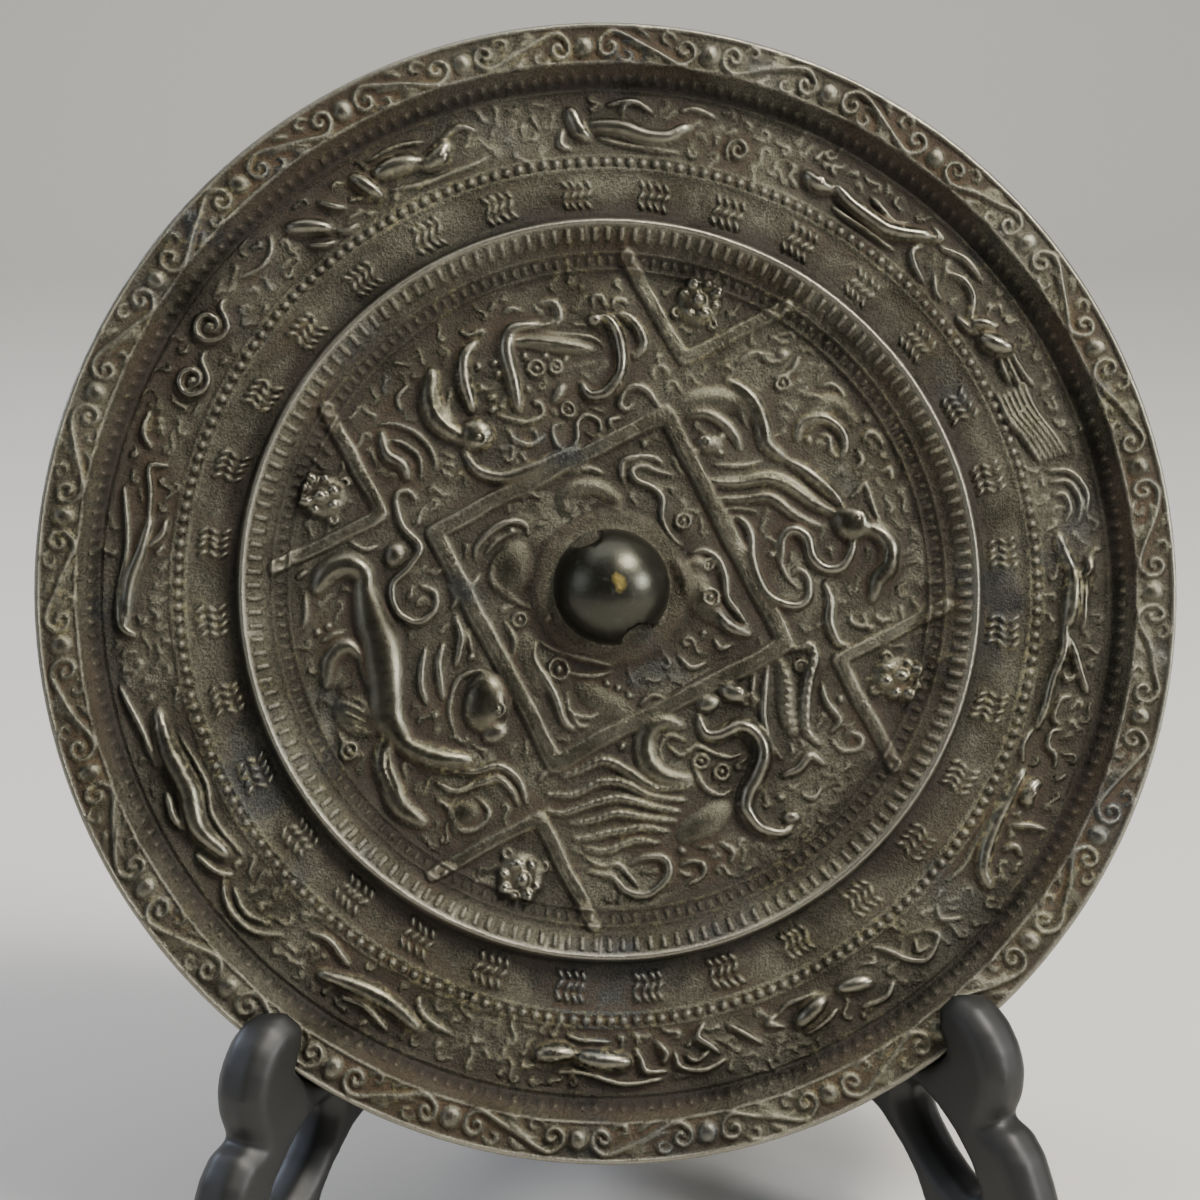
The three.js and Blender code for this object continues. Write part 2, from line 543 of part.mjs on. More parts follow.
function leafGroup(side) {
  const turn = side === "right" ? leafTurn - 90 : -90 - leafTurn;
  const group = new THREE.Group();
  group.position.y = hingeSetBack;
  group.rotation.set(Math.PI / 2, 0, THREE.MathUtils.degToRad(turn), "ZYX");
  return group;
}

const model = new THREE.Group();

const mirrorGroup = new THREE.Group();
mirrorGroup.position.z = mirrorMiddleHeight;
mirrorGroup.rotation.x = THREE.MathUtils.degToRad(90 - leanDegrees);
mirrorGroup.add(named("bronze_mirror", mirrorGeometry(), bronze));
model.add(mirrorGroup);
mirrorGroup.updateMatrixWorld(true);

for (const side of ["left", "right"]) {
  const group = leafGroup(side);
  group.updateMatrixWorld(true);
  const intoLeaf = group.matrixWorld.clone().invert().multiply(mirrorGroup.matrixWorld);
  const cutter = toSolid(mirrorCutter().applyMatrix4(intoLeaf));
  group.add(named(`stand_leaf_${side}`, leafGeometry(side, cutter), blackPlastic));
  model.add(group);
}

const pin = upright(pinRadius, 12, postTop + 1);
const pinGroup = new THREE.Group();
pinGroup.position.y = hingeSetBack;
pinGroup.rotation.x = Math.PI / 2;
pinGroup.add(named("stand_hinge_pin", pin, steel));
model.add(pinGroup);

// The origin is on the table, under the middle of the whole.
const reach = new THREE.Box3().setFromObject(model, true);
model.position.y = -(reach.min.y + reach.max.y) / 2;

export default model;
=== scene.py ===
# An ancient bronze mirror, ornament outwards, leaning on a folding stand of two black plastic leaves.
import math
import bpy
import numpy as np
from mathutils import Matrix, Vector


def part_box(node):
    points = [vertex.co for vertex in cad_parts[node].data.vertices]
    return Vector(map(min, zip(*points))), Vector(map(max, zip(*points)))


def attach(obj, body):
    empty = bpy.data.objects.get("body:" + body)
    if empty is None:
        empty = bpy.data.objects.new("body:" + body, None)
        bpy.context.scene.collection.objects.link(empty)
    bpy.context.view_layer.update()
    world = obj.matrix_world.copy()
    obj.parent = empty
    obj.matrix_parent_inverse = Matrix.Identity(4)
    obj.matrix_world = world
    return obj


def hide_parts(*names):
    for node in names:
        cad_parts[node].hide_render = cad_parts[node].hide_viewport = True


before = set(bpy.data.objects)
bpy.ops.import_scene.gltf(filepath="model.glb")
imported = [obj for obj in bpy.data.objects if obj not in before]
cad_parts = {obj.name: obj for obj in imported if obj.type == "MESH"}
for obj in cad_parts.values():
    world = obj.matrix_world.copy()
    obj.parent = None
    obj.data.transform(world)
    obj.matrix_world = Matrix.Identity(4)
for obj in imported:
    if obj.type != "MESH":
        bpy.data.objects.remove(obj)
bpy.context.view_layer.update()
scene = bpy.context.scene
mm = 0.001

# ---- small helpers


def toLinear(hexColour):
    values = [int(hexColour[i:i + 2], 16) / 255 for i in (1, 3, 5)]
    linear = [c / 12.92 if c <= 0.04045 else ((c + 0.055) / 1.055) ** 2.4 for c in values]
    return (*linear, 1)


# Adds one node: a value is set on its socket, a colour is given in hex, and a socket is linked.
def addNode(tree, kind, settings=None, inputs=None):
    node = tree.nodes.new(kind)
    for key, value in (settings or {}).items():
        setattr(node, key, value)
    for key, value in (inputs or {}).items():
        if isinstance(value, bpy.types.NodeSocket):
            tree.links.new(value, node.inputs[key])
        else:
            node.inputs[key].default_value = toLinear(value) if isinstance(value, str) else value
    return node


def newMaterial(name):
    material = bpy.data.materials.new(name)
    material.use_nodes = True
    tree = material.node_tree
    return material, tree, tree.nodes["Principled BSDF"]


def newObject(name, points, triangles):
    mesh = bpy.data.meshes.new(name)
    mesh.vertices.add(len(points))
    mesh.vertices.foreach_set("co", np.asarray(points, np.float32).ravel())
    corners = np.asarray(triangles, np.int32)
    mesh.loops.add(corners.size)
    mesh.loops.foreach_set("vertex_index", corners.ravel())
    mesh.polygons.add(len(corners))
    mesh.polygons.foreach_set("loop_start", np.arange(len(corners), dtype=np.int32) * 3)
    mesh.update(calc_edges=True)
    obj = bpy.data.objects.new(name, mesh)
    scene.collection.objects.link(obj)
    return obj


def applyModifiers(obj):
    view = bpy.context.evaluated_depsgraph_get()
    view.update()
    mesh = bpy.data.meshes.new_from_object(obj.evaluated_get(view))
    obj.modifiers.clear()
    obj.data = mesh


def vertexPlaces(obj):
    places = np.empty(len(obj.data.vertices) * 3, np.float32)
    obj.data.vertices.foreach_get("co", places)
    return places.reshape(-1, 3)


def storeValue(obj, name, values):
    layer = obj.data.attributes.new(name, "FLOAT", "POINT")
    layer.data.foreach_set("value", np.asarray(values, np.float32))


def polar(degrees, reach):
    turn = np.radians(degrees)
    return reach * np.cos(turn), reach * np.sin(turn)


# ---- the mirror's own frame: u right, v up in the disc, w out of the ornament; w = 0 on the reflecting face

mirrorLook = {
    "radius": 107.5,
    "leanDegrees": 18,
    "faceBulge": 1.2,  # swell of the reflecting face
    "rimTop": 8.9,
    "knobRadius": 11.0,
    "knobTop": 13.2,
    "knobFoot": 3.7,
    "patternTurn": 26.4,  # the square and its Vs, turned anticlockwise
    "ringStep": 0.36,  # mesh spacing before it is thinned
    "roundCount": 1440,
    "triangles": 186000,
}

# Reach and height of the disc's face, from the knob's foot to the rim.
profile = np.array([
    (11.0, 3.95), (13.8, 3.9), (14.6, 3.6), (15.4, 3.05), (16.2, 3.0), (60.6, 3.0), (64.2, 4.3), (69.0, 7.2),
    (69.25, 7.4), (69.75, 7.4), (70.1, 7.1), (70.8, 4.65), (71.2, 4.5), (95.6, 4.5), (96.1, 4.65),
    (99.5, 8.15),
    (99.9, 8.3), (106.3, 8.3), (106.7, 8.85), (107.2, 8.85), (107.5, 8.5),
])


def mirrorMatrix():
    low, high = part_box("bronze_mirror")
    lean = math.radians(mirrorLook["leanDegrees"])
    radius = mirrorLook["radius"] * mm
    edge = (mirrorLook["rimTop"] - 0.3) * mm
    height = high.z - radius * math.cos(lean) - edge * math.sin(lean)
    backEdge = 106.2 * mm * math.sin(lean) - 1.17 * mm * math.cos(lean)
    right, up = Vector((1, 0, 0)), Vector((0, math.sin(lean), math.cos(lean)))
    turn = Matrix((right, up, right.cross(up))).transposed()
    return Matrix.Translation(((low.x + high.x) / 2, high.y - backEdge, height)) @ turn.to_4x4()


mirrorPlace = mirrorMatrix()

# ---- relief map: heights over the disc on a square grid, filled stroke by stroke

mapHalf = 108.0
mapStep = 0.2
axis = np.arange(-mapHalf, mapHalf + mapStep / 2, mapStep)
relief = np.zeros((len(axis), len(axis)), np.float32)
grooves = np.zeros_like(relief)
spread = np.fft.rfftfreq(len(axis), mapStep)[None, :] ** 2 + np.fft.fftfreq(len(axis), mapStep)[:, None] ** 2


def soften(field, sigma):
    return np.fft.irfft2(np.fft.rfft2(field) * np.exp(-2 * (math.pi * sigma) ** 2 * spread), s=field.shape)


def unevenness(seed, sigma):
    field = soften(np.random.default_rng(seed).standard_normal(relief.shape), sigma)
    return field / field.std()


def sample(field, u, v):
    column = ((np.asarray(u) + mapHalf) / mapStep).clip(0, len(axis) - 1.001)
    row = ((np.asarray(v) + mapHalf) / mapStep).clip(0, len(axis) - 1.001)
    i, j = row.astype(int), column.astype(int)
    a, b = row - i, column - j
    lower = field[i, j] * (1 - b) + field[i, j + 1] * b
    upper = field[i + 1, j] * (1 - b) + field[i + 1, j + 1] * b
    return lower * (1 - a) + upper * a


def smoothPath(points, spacing=0.5):
    knots = np.array(points, float)
    knots = np.vstack([2 * knots[0] - knots[1], knots, 2 * knots[-1] - knots[-2]])
    path = []
    for k in range(len(knots) - 3):
        a, b, c, d = knots[k:k + 4]
        count = max(2, int(np.linalg.norm(c - b) / spacing))
        t = np.arange(count)[:, None] / count
        path.append(b + 0.5 * t * ((c - a) + t * ((2 * a - 5 * b + 4 * c - d) + t * (3 * (b - c) + d - a))))
    return np.vstack([*path, knots[-2:-1]])


def rounded(ratio):
    return np.sqrt((1 - ratio ** 2).clip(0))


def fleshy(ratio):
    return (1 - ratio ** 2).clip(0) ** 0.8


def channelled(ratio):
    return np.where(ratio < 1, 0.5 + 0.5 * np.exp(-((ratio - 0.7) / 0.17) ** 2), 0)


def window(low, high):
    first = np.floor((np.array(low) + mapHalf) / mapStep).astype(int).clip(0, len(axis) - 1)
    last = np.ceil((np.array(high) + mapHalf) / mapStep).astype(int).clip(0, len(axis) - 1)
    across, along = slice(first[0], last[0] + 1), slice(first[1], last[1] + 1)
    return (along, across), axis[across][None, :], axis[along][:, None]


def carve(points, width, rise, tip=0.4, section=rounded, field=None):
    target = relief if field is None else field
    path = smoothPath(points)
    steps = np.linalg.norm(np.diff(path, axis=0), axis=1)
    along = np.concatenate([[0], np.cumsum(steps)]) / steps.sum()
    swell = tip + (1 - tip) * np.sqrt(np.sin(math.pi * along).clip(0))
    for k in range(len(steps)):
        start, run = path[k], path[k + 1] - path[k]
        place, u, v = window(np.minimum(start, path[k + 1]) - width / 2,
                             np.maximum(start, path[k + 1]) + width / 2)
        t = (((u - start[0]) * run[0] + (v - start[1]) * run[1]) / max(run @ run, 1e-9)).clip(0, 1)
        off = np.hypot(u - start[0] - t * run[0], v - start[1] - t * run[1])
        local = swell[k] + (swell[k + 1] - swell[k]) * t
        target[place] = np.maximum(target[place], rise * local * section(off / (width / 2 * local)))


def swellAt(u0, v0, halfLength, halfWidth, rise, turnDegrees=0):
    reach = max(halfLength, halfWidth)
    place, u, v = window((u0 - reach, v0 - reach), (u0 + reach, v0 + reach))
    turn = math.radians(turnDegrees)
    along = (u - u0) * math.cos(turn) + (v - v0) * math.sin(turn)
    aside = (v - v0) * math.cos(turn) - (u - u0) * math.sin(turn)
    relief[place] = np.maximum(relief[place], rise * rounded(np.hypot(along / halfLength, aside / halfWidth)))


def ringAt(u0, v0, radius, width, rise, pupil=0.0):
    turns = np.radians(np.arange(0, 361, 30))
    carve(np.column_stack([u0 + radius * np.cos(turns), v0 + radius * np.sin(turns)]), width, rise, tip=1)
    if pupil:
        swellAt(u0, v0, pupil, pupil, rise * 1.25)


def curlAt(u0, v0, radius, startDegrees, turns, width, rise, tail=0.0, hand=1):
    count = max(6, int(abs(turns) * 9))
    t = np.linspace(0, 1, count)
    angle = np.radians(startDegrees) + hand * t * turns * 2 * math.pi
    reach = radius * (0.18 + 0.82 * t)
    points = np.column_stack([u0 + reach * np.cos(angle), v0 + reach * np.sin(angle)])
    if tail:
        ahead = points[-1] - points[-2]
        ahead = ahead / np.linalg.norm(ahead)
        aside = np.array([-ahead[1], ahead[0]]) * hand
        points = np.vstack([points, points[-1] + ahead * tail * 0.6,
                            points[-1] + ahead * tail - aside * tail * 0.35])
    carve(points, width, rise, tip=0.55)

# ---- the beasts of the inner field and the square: (width, rise, points), all in millimetres

beasts = {
    "snakeAndTortoise": {
        "limbs": [
            (3.2, 2.2, [(-24.5, 46.8), (-27, 44.2), (-27.2, 39.5), (-25.7, 33.8)]),
            (3.2, 2.2, [(-12.5, 50.6), (-17.4, 49.6), (-19, 46), (-18, 40), (-17, 33.8)]),
            (4.6, 2.2, [(-33.5, 41.5), (-34, 36.5), (-31.5, 31.5), (-27, 28.2)]),
            (2.6, 1.5, [(-27.8, 26.6), (-25, 23), (-20, 21.4), (-13, 23.5), (-6, 27)]),
            (3.4, 1.7, [(-19, 46.8), (-14, 47.1), (-8, 46.4), (-2.6, 45.6)]),
            (3.0, 2.2, [(-1, 52.4), (1.2, 51), (2.8, 47), (2.6, 42), (0.5, 38), (-2.5, 37), (-4.4, 39)]),
            (1.9, 1.5, [(1.5, 52.3), (4, 52), (6.3, 49.5), (7.3, 46.5), (6, 44.5), (4.8, 45.2)]),
            (2.0, 1.3, [(-13, 54.5), (-10, 54.5), (-8.8, 52.5), (-9.5, 50.8), (-14, 49.8)]),
            (3.0, 1.5, [(-43, 30), (-42, 26), (-39, 24), (-38, 21)]),
            (1.5, 1.2, [(10.5, 33.5), (8.5, 37), (6, 38.6), (3.5, 37.8), (2.5, 35.5), (3.8, 34.3),
                        (5, 35.5)]),
        ],
        "threads": [
            [(-15, 49.5), (-9, 48.6), (-3, 48), (-0.3, 46.5)],
            [(-28, 49), (-26, 48), (-23.5, 49), (-23.4, 47)],
            [(-44, 31.5), (-40, 31.6), (-36, 29.8), (-33.5, 26), (-33, 22.6)],
            [(-43, 28.5), (-39, 28.2), (-36, 25.5), (-35.5, 21)], [(-19.5, 52.5), (-18, 53.8), (-16, 53.5)],
            [(-4.5, 30), (-3, 28.8), (-1.2, 30), (-1.3, 32.2), (-3.8, 33.2), (-5.8, 31.5), (-6.2, 28.5),
             (-8, 26.2), (-10, 27.5), (-10.5, 30.5), (-8.5, 31.5)],
            [(-2.5, 54), (-2.6, 56), (-0.8, 55.8), (0.2, 53.5)],
            [(1.5, 53.2), (1.8, 55.3), (4, 55), (4.2, 54)],
            [(1, 30.5), (0.8, 32.3), (3, 32.8)], [(9, 40), (8.8, 41.5), (10.5, 42), (12, 40.5)],
            [(-30, 38.5), (-30.5, 34.5), (-28.5, 31)], [(-20.5, 33), (-16, 31.5), (-12.5, 33), (-12.8, 36)],
            [(-12, 29), (-14.5, 27.4), (-17.5, 28.2), (-18.8, 30.4)], [(-38, 39), (-40, 36.5), (-39, 34)],
        ],
        "lumps": [(-25, 29.4, 3.7, 3.3, 2.4, 20), (-9, 37, 2.4, 1.3, 1.2, 60), (-2, 51.4, 1.7, 1.5, 1.8, 0)],
        "eyes": [(-24.8, 28.8, 1.4), (-13.5, 42, 1.4), (-9.8, 42.3, 1.2), (-7.3, 34, 1.3)],
        "pellets": [(-24.3, 42.5), (-21.2, 43), (-20.7, 41), (-24, 38.5), (-22, 36.5), (-21.8, 34.2),
                    (-15.5, 44.2), (-11.8, 44.3), (-7.8, 43.8), (-15.2, 38), (-13.6, 35.4)],
        "cuts": [
            [(-33, 39), (-32.6, 35), (-30, 31.4)], [(-15.5, 46.4), (-9, 46)],
            [(1.6, 47), (1.4, 42), (-0.8, 39)],
        ],
    },
    "dragon": {
        "limbs": [
            (3.2, 1.7, [(18.6, 20.2), (25, 19.5), (31, 20.3), (36, 18.3), (40, 15), (45, 12)]),
            (2.3, 1.4, [(20.4, 16.8), (26, 16), (31, 16.5), (36, 13.3), (40.4, 10.8)]),
            (3.6, 1.9, [(23.4, 39.6), (27.5, 35.5), (29.6, 31), (30.6, 26.6), (34, 23.6)]),
            (2.8, 1.8, [(34, 23.6), (38, 21.5), (43, 17), (45, 13.6)]),
            (2.1, 1.4, [(15, 32.4), (19, 33), (22, 31.5), (24.5, 28.5), (25.4, 25.8)]),
            (2.1, 1.6, [(36, 27), (37.3, 31), (41.5, 31.6), (44.6, 29.5), (45.5, 26.5), (44.4, 24)]),
            (2.3, 1.9, [(32.5, 4.6), (32.8, 9), (35, 10.9), (37.7, 9.2), (38.6, 5.5), (41, 3), (44.4, 3.2),
                        (46.3, 6.5), (46, 10.4)]),
            (2.0, 1.6, [(22.5, 12.9), (25, 12.3), (26.9, 9.5), (26.9, 5), (28.2, 1), (30.6, -2.5), (34.5, -4),
                        (37.5, -2.6), (37.8, 1), (36, 3), (34.5, 2)]),
            (5.0, 1.2, [(13.6, 32.6), (18, 35.6), (24, 35.4), (29, 32)]),
            (4.4, 1.1, [(38, 30), (43, 34.6), (47.4, 31)]),
            (4.2, 2.1, [(48, 11.4), (51.5, 9.6), (53.5, 6.5), (53.3, 3), (51, 0.6), (50, -3)]),
            (2.2, 1.5, [(41, 0), (42, -3), (41.6, -7), (43, -11), (45, -12)]),
        ],
        "threads": [
            [(29.5, 9.2), (31.3, 8), (32, 5), (33.5, 1.5), (36, -1)],
            [(50, 12.4), (53, 10.6), (55.2, 6), (55.4, 2)],
            [(45.5, 16), (47.5, 17.5), (49, 19.2), (50, 16), (51, 13), (53.5, 9)],
            [(40.3, 28.5), (42.2, 28), (42.5, 25.5), (44, 24)],
            [(45.5, -5.5), (46, -7.5), (48.5, -8), (48, -5.5)],
            [(50.5, -5.5), (51.5, -7), (53.5, -6.5)], [(49, 27), (50, 29), (52, 28), (53, 26)],
            [(52, 21), (54, 21.5), (54.5, 19.5)], [(41, 37.5), (43, 38.5), (45, 37), (46, 35)],
            [(38, 36), (41, 35.5), (43, 34), (42, 32.8), (40, 33)], [(29, 44), (31, 43), (34, 42.8)],
            [(25, 42.5), (28, 44.5), (32, 44)], [(31, 40), (35, 40.5), (37, 43.5)],
            [(21, 38), (24.6, 34), (26.6, 30)], [(20, 23.4), (25, 22.8), (29.5, 23.6)],
            [(19.6, 13.8), (23, 14.4), (28.5, 13.6)], [(46.5, 21.5), (48.6, 23.4), (47.8, 26)],
        ],
        "lumps": [(46.2, 11.6, 4.1, 3.5, 2.5, -20), (19.4, 27.4, 3.0, 2.0, 1.3, 0),
                  (33.8, 44, 1.6, 1.1, 1, 0)],
        "eyes": [(33.5, 38.5, 1.3), (47.2, 12.6, 1.1), (18.6, 27.8, 0.9)],
        "pellets": [(21.6, 25.6), (16.8, 26), (22, 28.8), (38.2, 27.6), (30.6, 5.6), (49.4, -8.4)],
        "cuts": [
            [(20, 20.4), (26, 19.9), (31, 20.7), (36, 18.7), (40, 15.6)], [(25, 38), (28.6, 33), (30, 28)],
            [(40, 19.6), (43.4, 16)], [(50, 9), (52, 6.2), (51.8, 3.4)],
        ],
    },
    "tiger": {
        "limbs": [
            (4.6, 2.2, [(-55.6, 0.4), (-53.6, 3.8), (-50, 5.2), (-47, 3.4), (-46.2, -1)]),
            (7.4, 2.9, [(-47, 2), (-45.4, -4.6), (-43.4, -11), (-43, -18), (-42.4, -24), (-39, -29.4)]),
            (5.0, 2.6, [(-41, -27.4), (-37.4, -30.4), (-33, -31.8), (-27.6, -32.3)]),
            (1.7, 1.5, [(-36.6, 17.4), (-38, 19), (-40.4, 17.8), (-39.2, 13), (-36, 8.6), (-38, 4.8),
                        (-41.3, 1.5),
                        (-40.6, -3.5), (-37, -6), (-33.5, -4), (-33.3, -0.5), (-36, 1)]),
            (3.4, 1.8, [(-54, -18), (-53.4, -12.6), (-50, -10), (-46.8, -13)]),
            (4.4, 2.1, [(-42, -27), (-43.5, -32), (-42.4, -37), (-40.6, -40.4), (-36, -43.6)]),
            (1.7, 1.3, [(-29.5, -4.5), (-28.5, -8), (-29.3, -11.5), (-29.8, -14.5)]),
            (1.7, 1.3, [(-32, -10), (-33, -14), (-32.5, -18), (-32, -21)]),
            (1.5, 1.3, [(-35.6, -11), (-36.3, -17), (-35, -21.5)]),
            (1.7, 1.3, [(-34, -36), (-30, -38), (-26, -36.5), (-22, -35.5), (-19.5, -38), (-18.4, -41)]),
            (1.6, 1.4, [(-33, -34), (-27, -34.4), (-22, -33.4), (-18, -36), (-16.8, -40.6)]),
        ],
        "threads": [
            [(-30, -28), (-31, -23), (-29.5, -17.5), (-26, -15.2), (-22, -16.4), (-19.8, -20), (-20.1, -24),
             (-21.3, -27)],
            [(-50.6, -12.6), (-48, -12.5), (-47.2, -16), (-45.5, -19), (-43, -19.6)],
            [(-57, 4), (-59, 2.5)], [(-57.5, 0), (-57.5, -4), (-58.5, -7)], [(-27.5, -7), (-26.8, -12)],
            [(-30, -39), (-31, -42), (-29, -45), (-26, -45), (-24, -42), (-26, -39.3), (-28.5, -40)],
            [(-34, -39), (-31, -41.5), (-30, -46)], [(-38, -34), (-40, -33), (-39.5, -37)],
            [(-55, -9.4), (-52.4, -8), (-50, -7.4)], [(-30.8, 1.4), (-29.4, -1.4), (-30.4, -3.4)],
            [(-44, 9), (-46.8, 8), (-49.6, 9.6)], [(-52, -26.6), (-49.6, -30.4), (-46.6, -31)],
        ],
        "lumps": [(-24.4, -21.2, 6.0, 4.3, 2.5, 78), (-22.5, -27.3, 2.6, 2.0, 1.7, 20),
                  (-41, 7, 2.8, 2.2, 1.5, 60),
                  (-48.4, -23.6, 5.2, 3.6, 1.4, -35), (-28, -42, 2.6, 2.6, 1.2, 0)],
        "eyes": [(-22, -23, 1.3), (-50, -30, 1.5)],
        "pellets": [(-27, -12.6), (-33.5, -24), (-41.6, 7.6), (-40.2, 5.8), (-55.6, -7.6), (-53.4, -6.6)],
        "cuts": [
            [(-29.5, -26), (-29.4, -22), (-27.4, -18.5), (-25, -17.4)],
            [(-51.6, -20), (-46.6, -22.6)], [(-51.4, -22), (-46, -24.6)], [(-50.8, -24), (-45.2, -26.4)],
            [(-50, -26), (-45.4, -28)], [(-54, 1.6), (-51.6, 3.6)],
            [(-42.4, -30), (-42.8, -34), (-41.8, -38)],
        ],
    },
    "phoenix": {
        "limbs": [
            (3.5, 2.5, [(16.2, -24.8), (17.5, -27.8), (20.4, -28.1), (24.5, -26.7), (27.8, -29),
                        (28.2, -32.5),
                        (26.5, -36.5), (25, -39), (24.6, -42.5), (27, -45.8), (31, -46.8), (33, -45.4)]),
            (4.3, 1.8, [(12.8, -26.6), (8.5, -25.8), (5.9, -29), (6.3, -33), (9.5, -35.8), (14, -36.4)]),
            (2.1, 1.5, [(14.5, -37.5), (8, -37.8), (3, -35), (-2, -33), (-7, -34.5), (-10, -35.5)]),
            (2.0, 1.4, [(13, -40.3), (7, -39.5), (2, -37), (-3, -36.8), (-8, -38.8), (-13, -38.5)]),
            (2.0, 1.4, [(12, -42.5), (7, -41.5), (1, -39.8), (-4, -40.7), (-10, -42.3), (-13.4, -41.8)]),
            (1.8, 1.3, [(11.5, -44.3), (6, -43.7), (0, -42.7), (-4, -44), (-9, -44.7)]),
            (1.8, 1.2, [(10, -46.3), (5, -45.6), (-1, -46.2), (-5, -47.3), (-8.6, -47.5)]),
            (1.8, 1.2, [(8, -48.6), (3, -48), (-2, -49.8), (-6, -49.5)]),
            (1.8, 1.3, [(-5.5, -53.5), (-1, -54.5), (1.5, -57), (6, -57.8), (9.3, -55), (9, -51.6),
                        (5, -51.3),
                        (2, -52.5)]),
            (2.0, 1.6, [(31.5, -36.1), (34.5, -35), (37, -33), (40, -34.5)]),
            (2.2, 1.6, [(34.5, -12.2), (37.6, -11.7), (38.5, -14), (37.4, -18), (36.5, -23), (36.5, -28),
                        (39, -31)]),
            (3.6, 1.3, [(32, -14), (33, -18), (33, -24), (34.2, -28.4)]),
            (1.5, 1.3, [(29.5, -15), (28.7, -20), (28.5, -25), (30, -30), (31.5, -33)]),
            (1.6, 1.2, [(39.8, -19), (40.5, -22.5), (43, -26), (41, -28.5)]),
        ],
        "threads": [
            [(24.5, -20.5), (26, -21), (27.6, -22.5)], [(24.4, -22), (25.4, -23)],
            [(10, -30), (12.5, -32), (14, -31), (16, -30), (19, -31.5), (22, -32.5), (24.5, -32)],
            [(14.5, -33.5), (15.5, -35.5), (17, -38), (20, -39.5), (22, -38.5)],
            [(-6, -51), (-3, -52.5), (0, -52.2), (2, -54), (4.5, -57)],
            [(41, -29.5), (43.5, -31.8), (46.5, -31.5), (47, -29.5), (45, -28.5), (44.3, -30)],
            [(11.5, -53), (14, -52), (16, -52.8), (15.8, -55), (13, -56.5)],
            [(13.5, -29.2), (10.4, -28.4), (8.6, -30.8), (9.4, -33.4)], [(-12.4, -34), (-14.6, -36.2)],
            [(19.5, -48.6), (22, -50.6), (21, -53)], [(26.8, -15.6), (26.2, -20.4), (26.6, -23.6)],
            [(-14.6, -44.6), (-12, -46.4), (-12.6, -49)], [(34.8, -39.6), (37.4, -40.4), (39.2, -38.4)],
        ],
        "lumps": [(22.6, -20.4, 3.0, 2.0, 2.2, -25), (18, -22.4, 2.6, 1.8, 1.7, 10),
                  (16.8, -44.6, 6.2, 3.0, 1.2, 35),
                  (33, -44, 1.9, 1.4, 1.6, 0)],
        "eyes": [(16.3, -33, 1.4), (20.3, -35.2, 1.4), (23.4, -20.2, 0.8), (36, -15.4, 1.0)],
        "pellets": [(1.3, -30.5), (12.4, -50), (31, -40.4), (43.4, -22.2)],
        "cuts": [],
    },
    "squareBeast": {
        "limbs": [
            (1.5, 1.3, [(-15.5, 10.3), (-16, 12.3), (-18.5, 12.8), (-22, 11.5), (-25, 8.5), (-25.4, 6)]),
            (1.5, 1.3, [(2.5, 20), (2.6, 23), (4, 24.5), (8, 24.8), (10.4, 23.4)]),
            (1.4, 1.3, [(12, 21.5), (9.5, 21.8), (6.5, 23.2), (4.4, 22.4), (5, 20.3), (8, 18.8), (10, 16.5),
                        (10, 13),
                        (12, 9.5), (14, 7.5)]),
            (1.6, 1.4, [(15, 6.4), (18, 6.8), (20.5, 5), (21.8, 1.5), (22, -2), (24, -5), (26, -8.5)]),
            (2.6, 1.5, [(19.8, -4.9), (22.5, -7.9), (26, -9.3)]),
            (1.8, 1.4, [(-14.5, -10), (-15, -13), (-13, -17), (-11, -21), (-9.5, -25), (-7.6, -27)]),
            (3.6, 1.0, [(-8, 13.6), (-8.4, 17.4), (-4, 19.2), (0.6, 17.2), (1.4, 14.8)]),
            (6.0, 1.2, [(12.6, 4.4), (15.6, 1.4), (17.4, -3.4), (21, -6.6)]),
            (5.0, 0.9, [(-16.6, -9), (-16, -14.6), (-13.6, -19.4)]),
            (5.4, 0.8, [(-6, -19.4), (-1.4, -21.6), (3, -24)]),
        ],
        "threads": [
            [(-20, 8), (-22.4, 4.5), (-22.5, 1.5), (-20, -1), (-17, -3), (-15.5, -4)],
            [(-17.5, 11), (-21.4, 9.5), (-23.6, 6.6)], [(-14, -10), (-8, -13), (0, -15)],
            [(-8.5, -16.4), (-4, -17), (0, -16)], [(-9, -20), (-8.3, -23.5), (-5, -24.8), (-2.5, -24)],
            [(-8.5, -23), (-7, -26), (-5, -26.5)], [(19, -10), (20.5, -12), (22.6, -11.4)],
            [(-24.6, 3), (-26.4, 0.4), (-24.8, -2.4)], [(14, 3), (16.4, 1.2), (16, -1.6)],
            [(-1, 21.6), (-4, 22.6), (-7.4, 21.4)], [(4.6, -22.6), (7.4, -20.4), (9.8, -21.6)],
            [(-13, 17.4), (-15.4, 18.4), (-16.6, 16.6)], [(12.4, -13.2), (14.8, -15.4), (17.8, -14.4)],
            [(-20.4, -6), (-18.6, -9.6), (-19.4, -13.6)],
        ],
        "lumps": [(-18.4, 4, 5.8, 3.8, 1.2, 80), (-18.7, 11, 1.0, 0.8, 1.3, 0),
                  (16.2, 4.2, 2.6, 2.0, 1.2, 0)],
        "eyes": [(18.7, 4, 1.0), (18.8, -2.3, 1.6), (-10.3, -15.5, 1.9), (-17.5, -6, 1.3), (14, 12.5, 1.3)],
        "pellets": [(-1, -18.2), (1, -19), (3, -20.4), (-12, -5.6), (7, 27.2)],
        "cuts": [],
    },
}


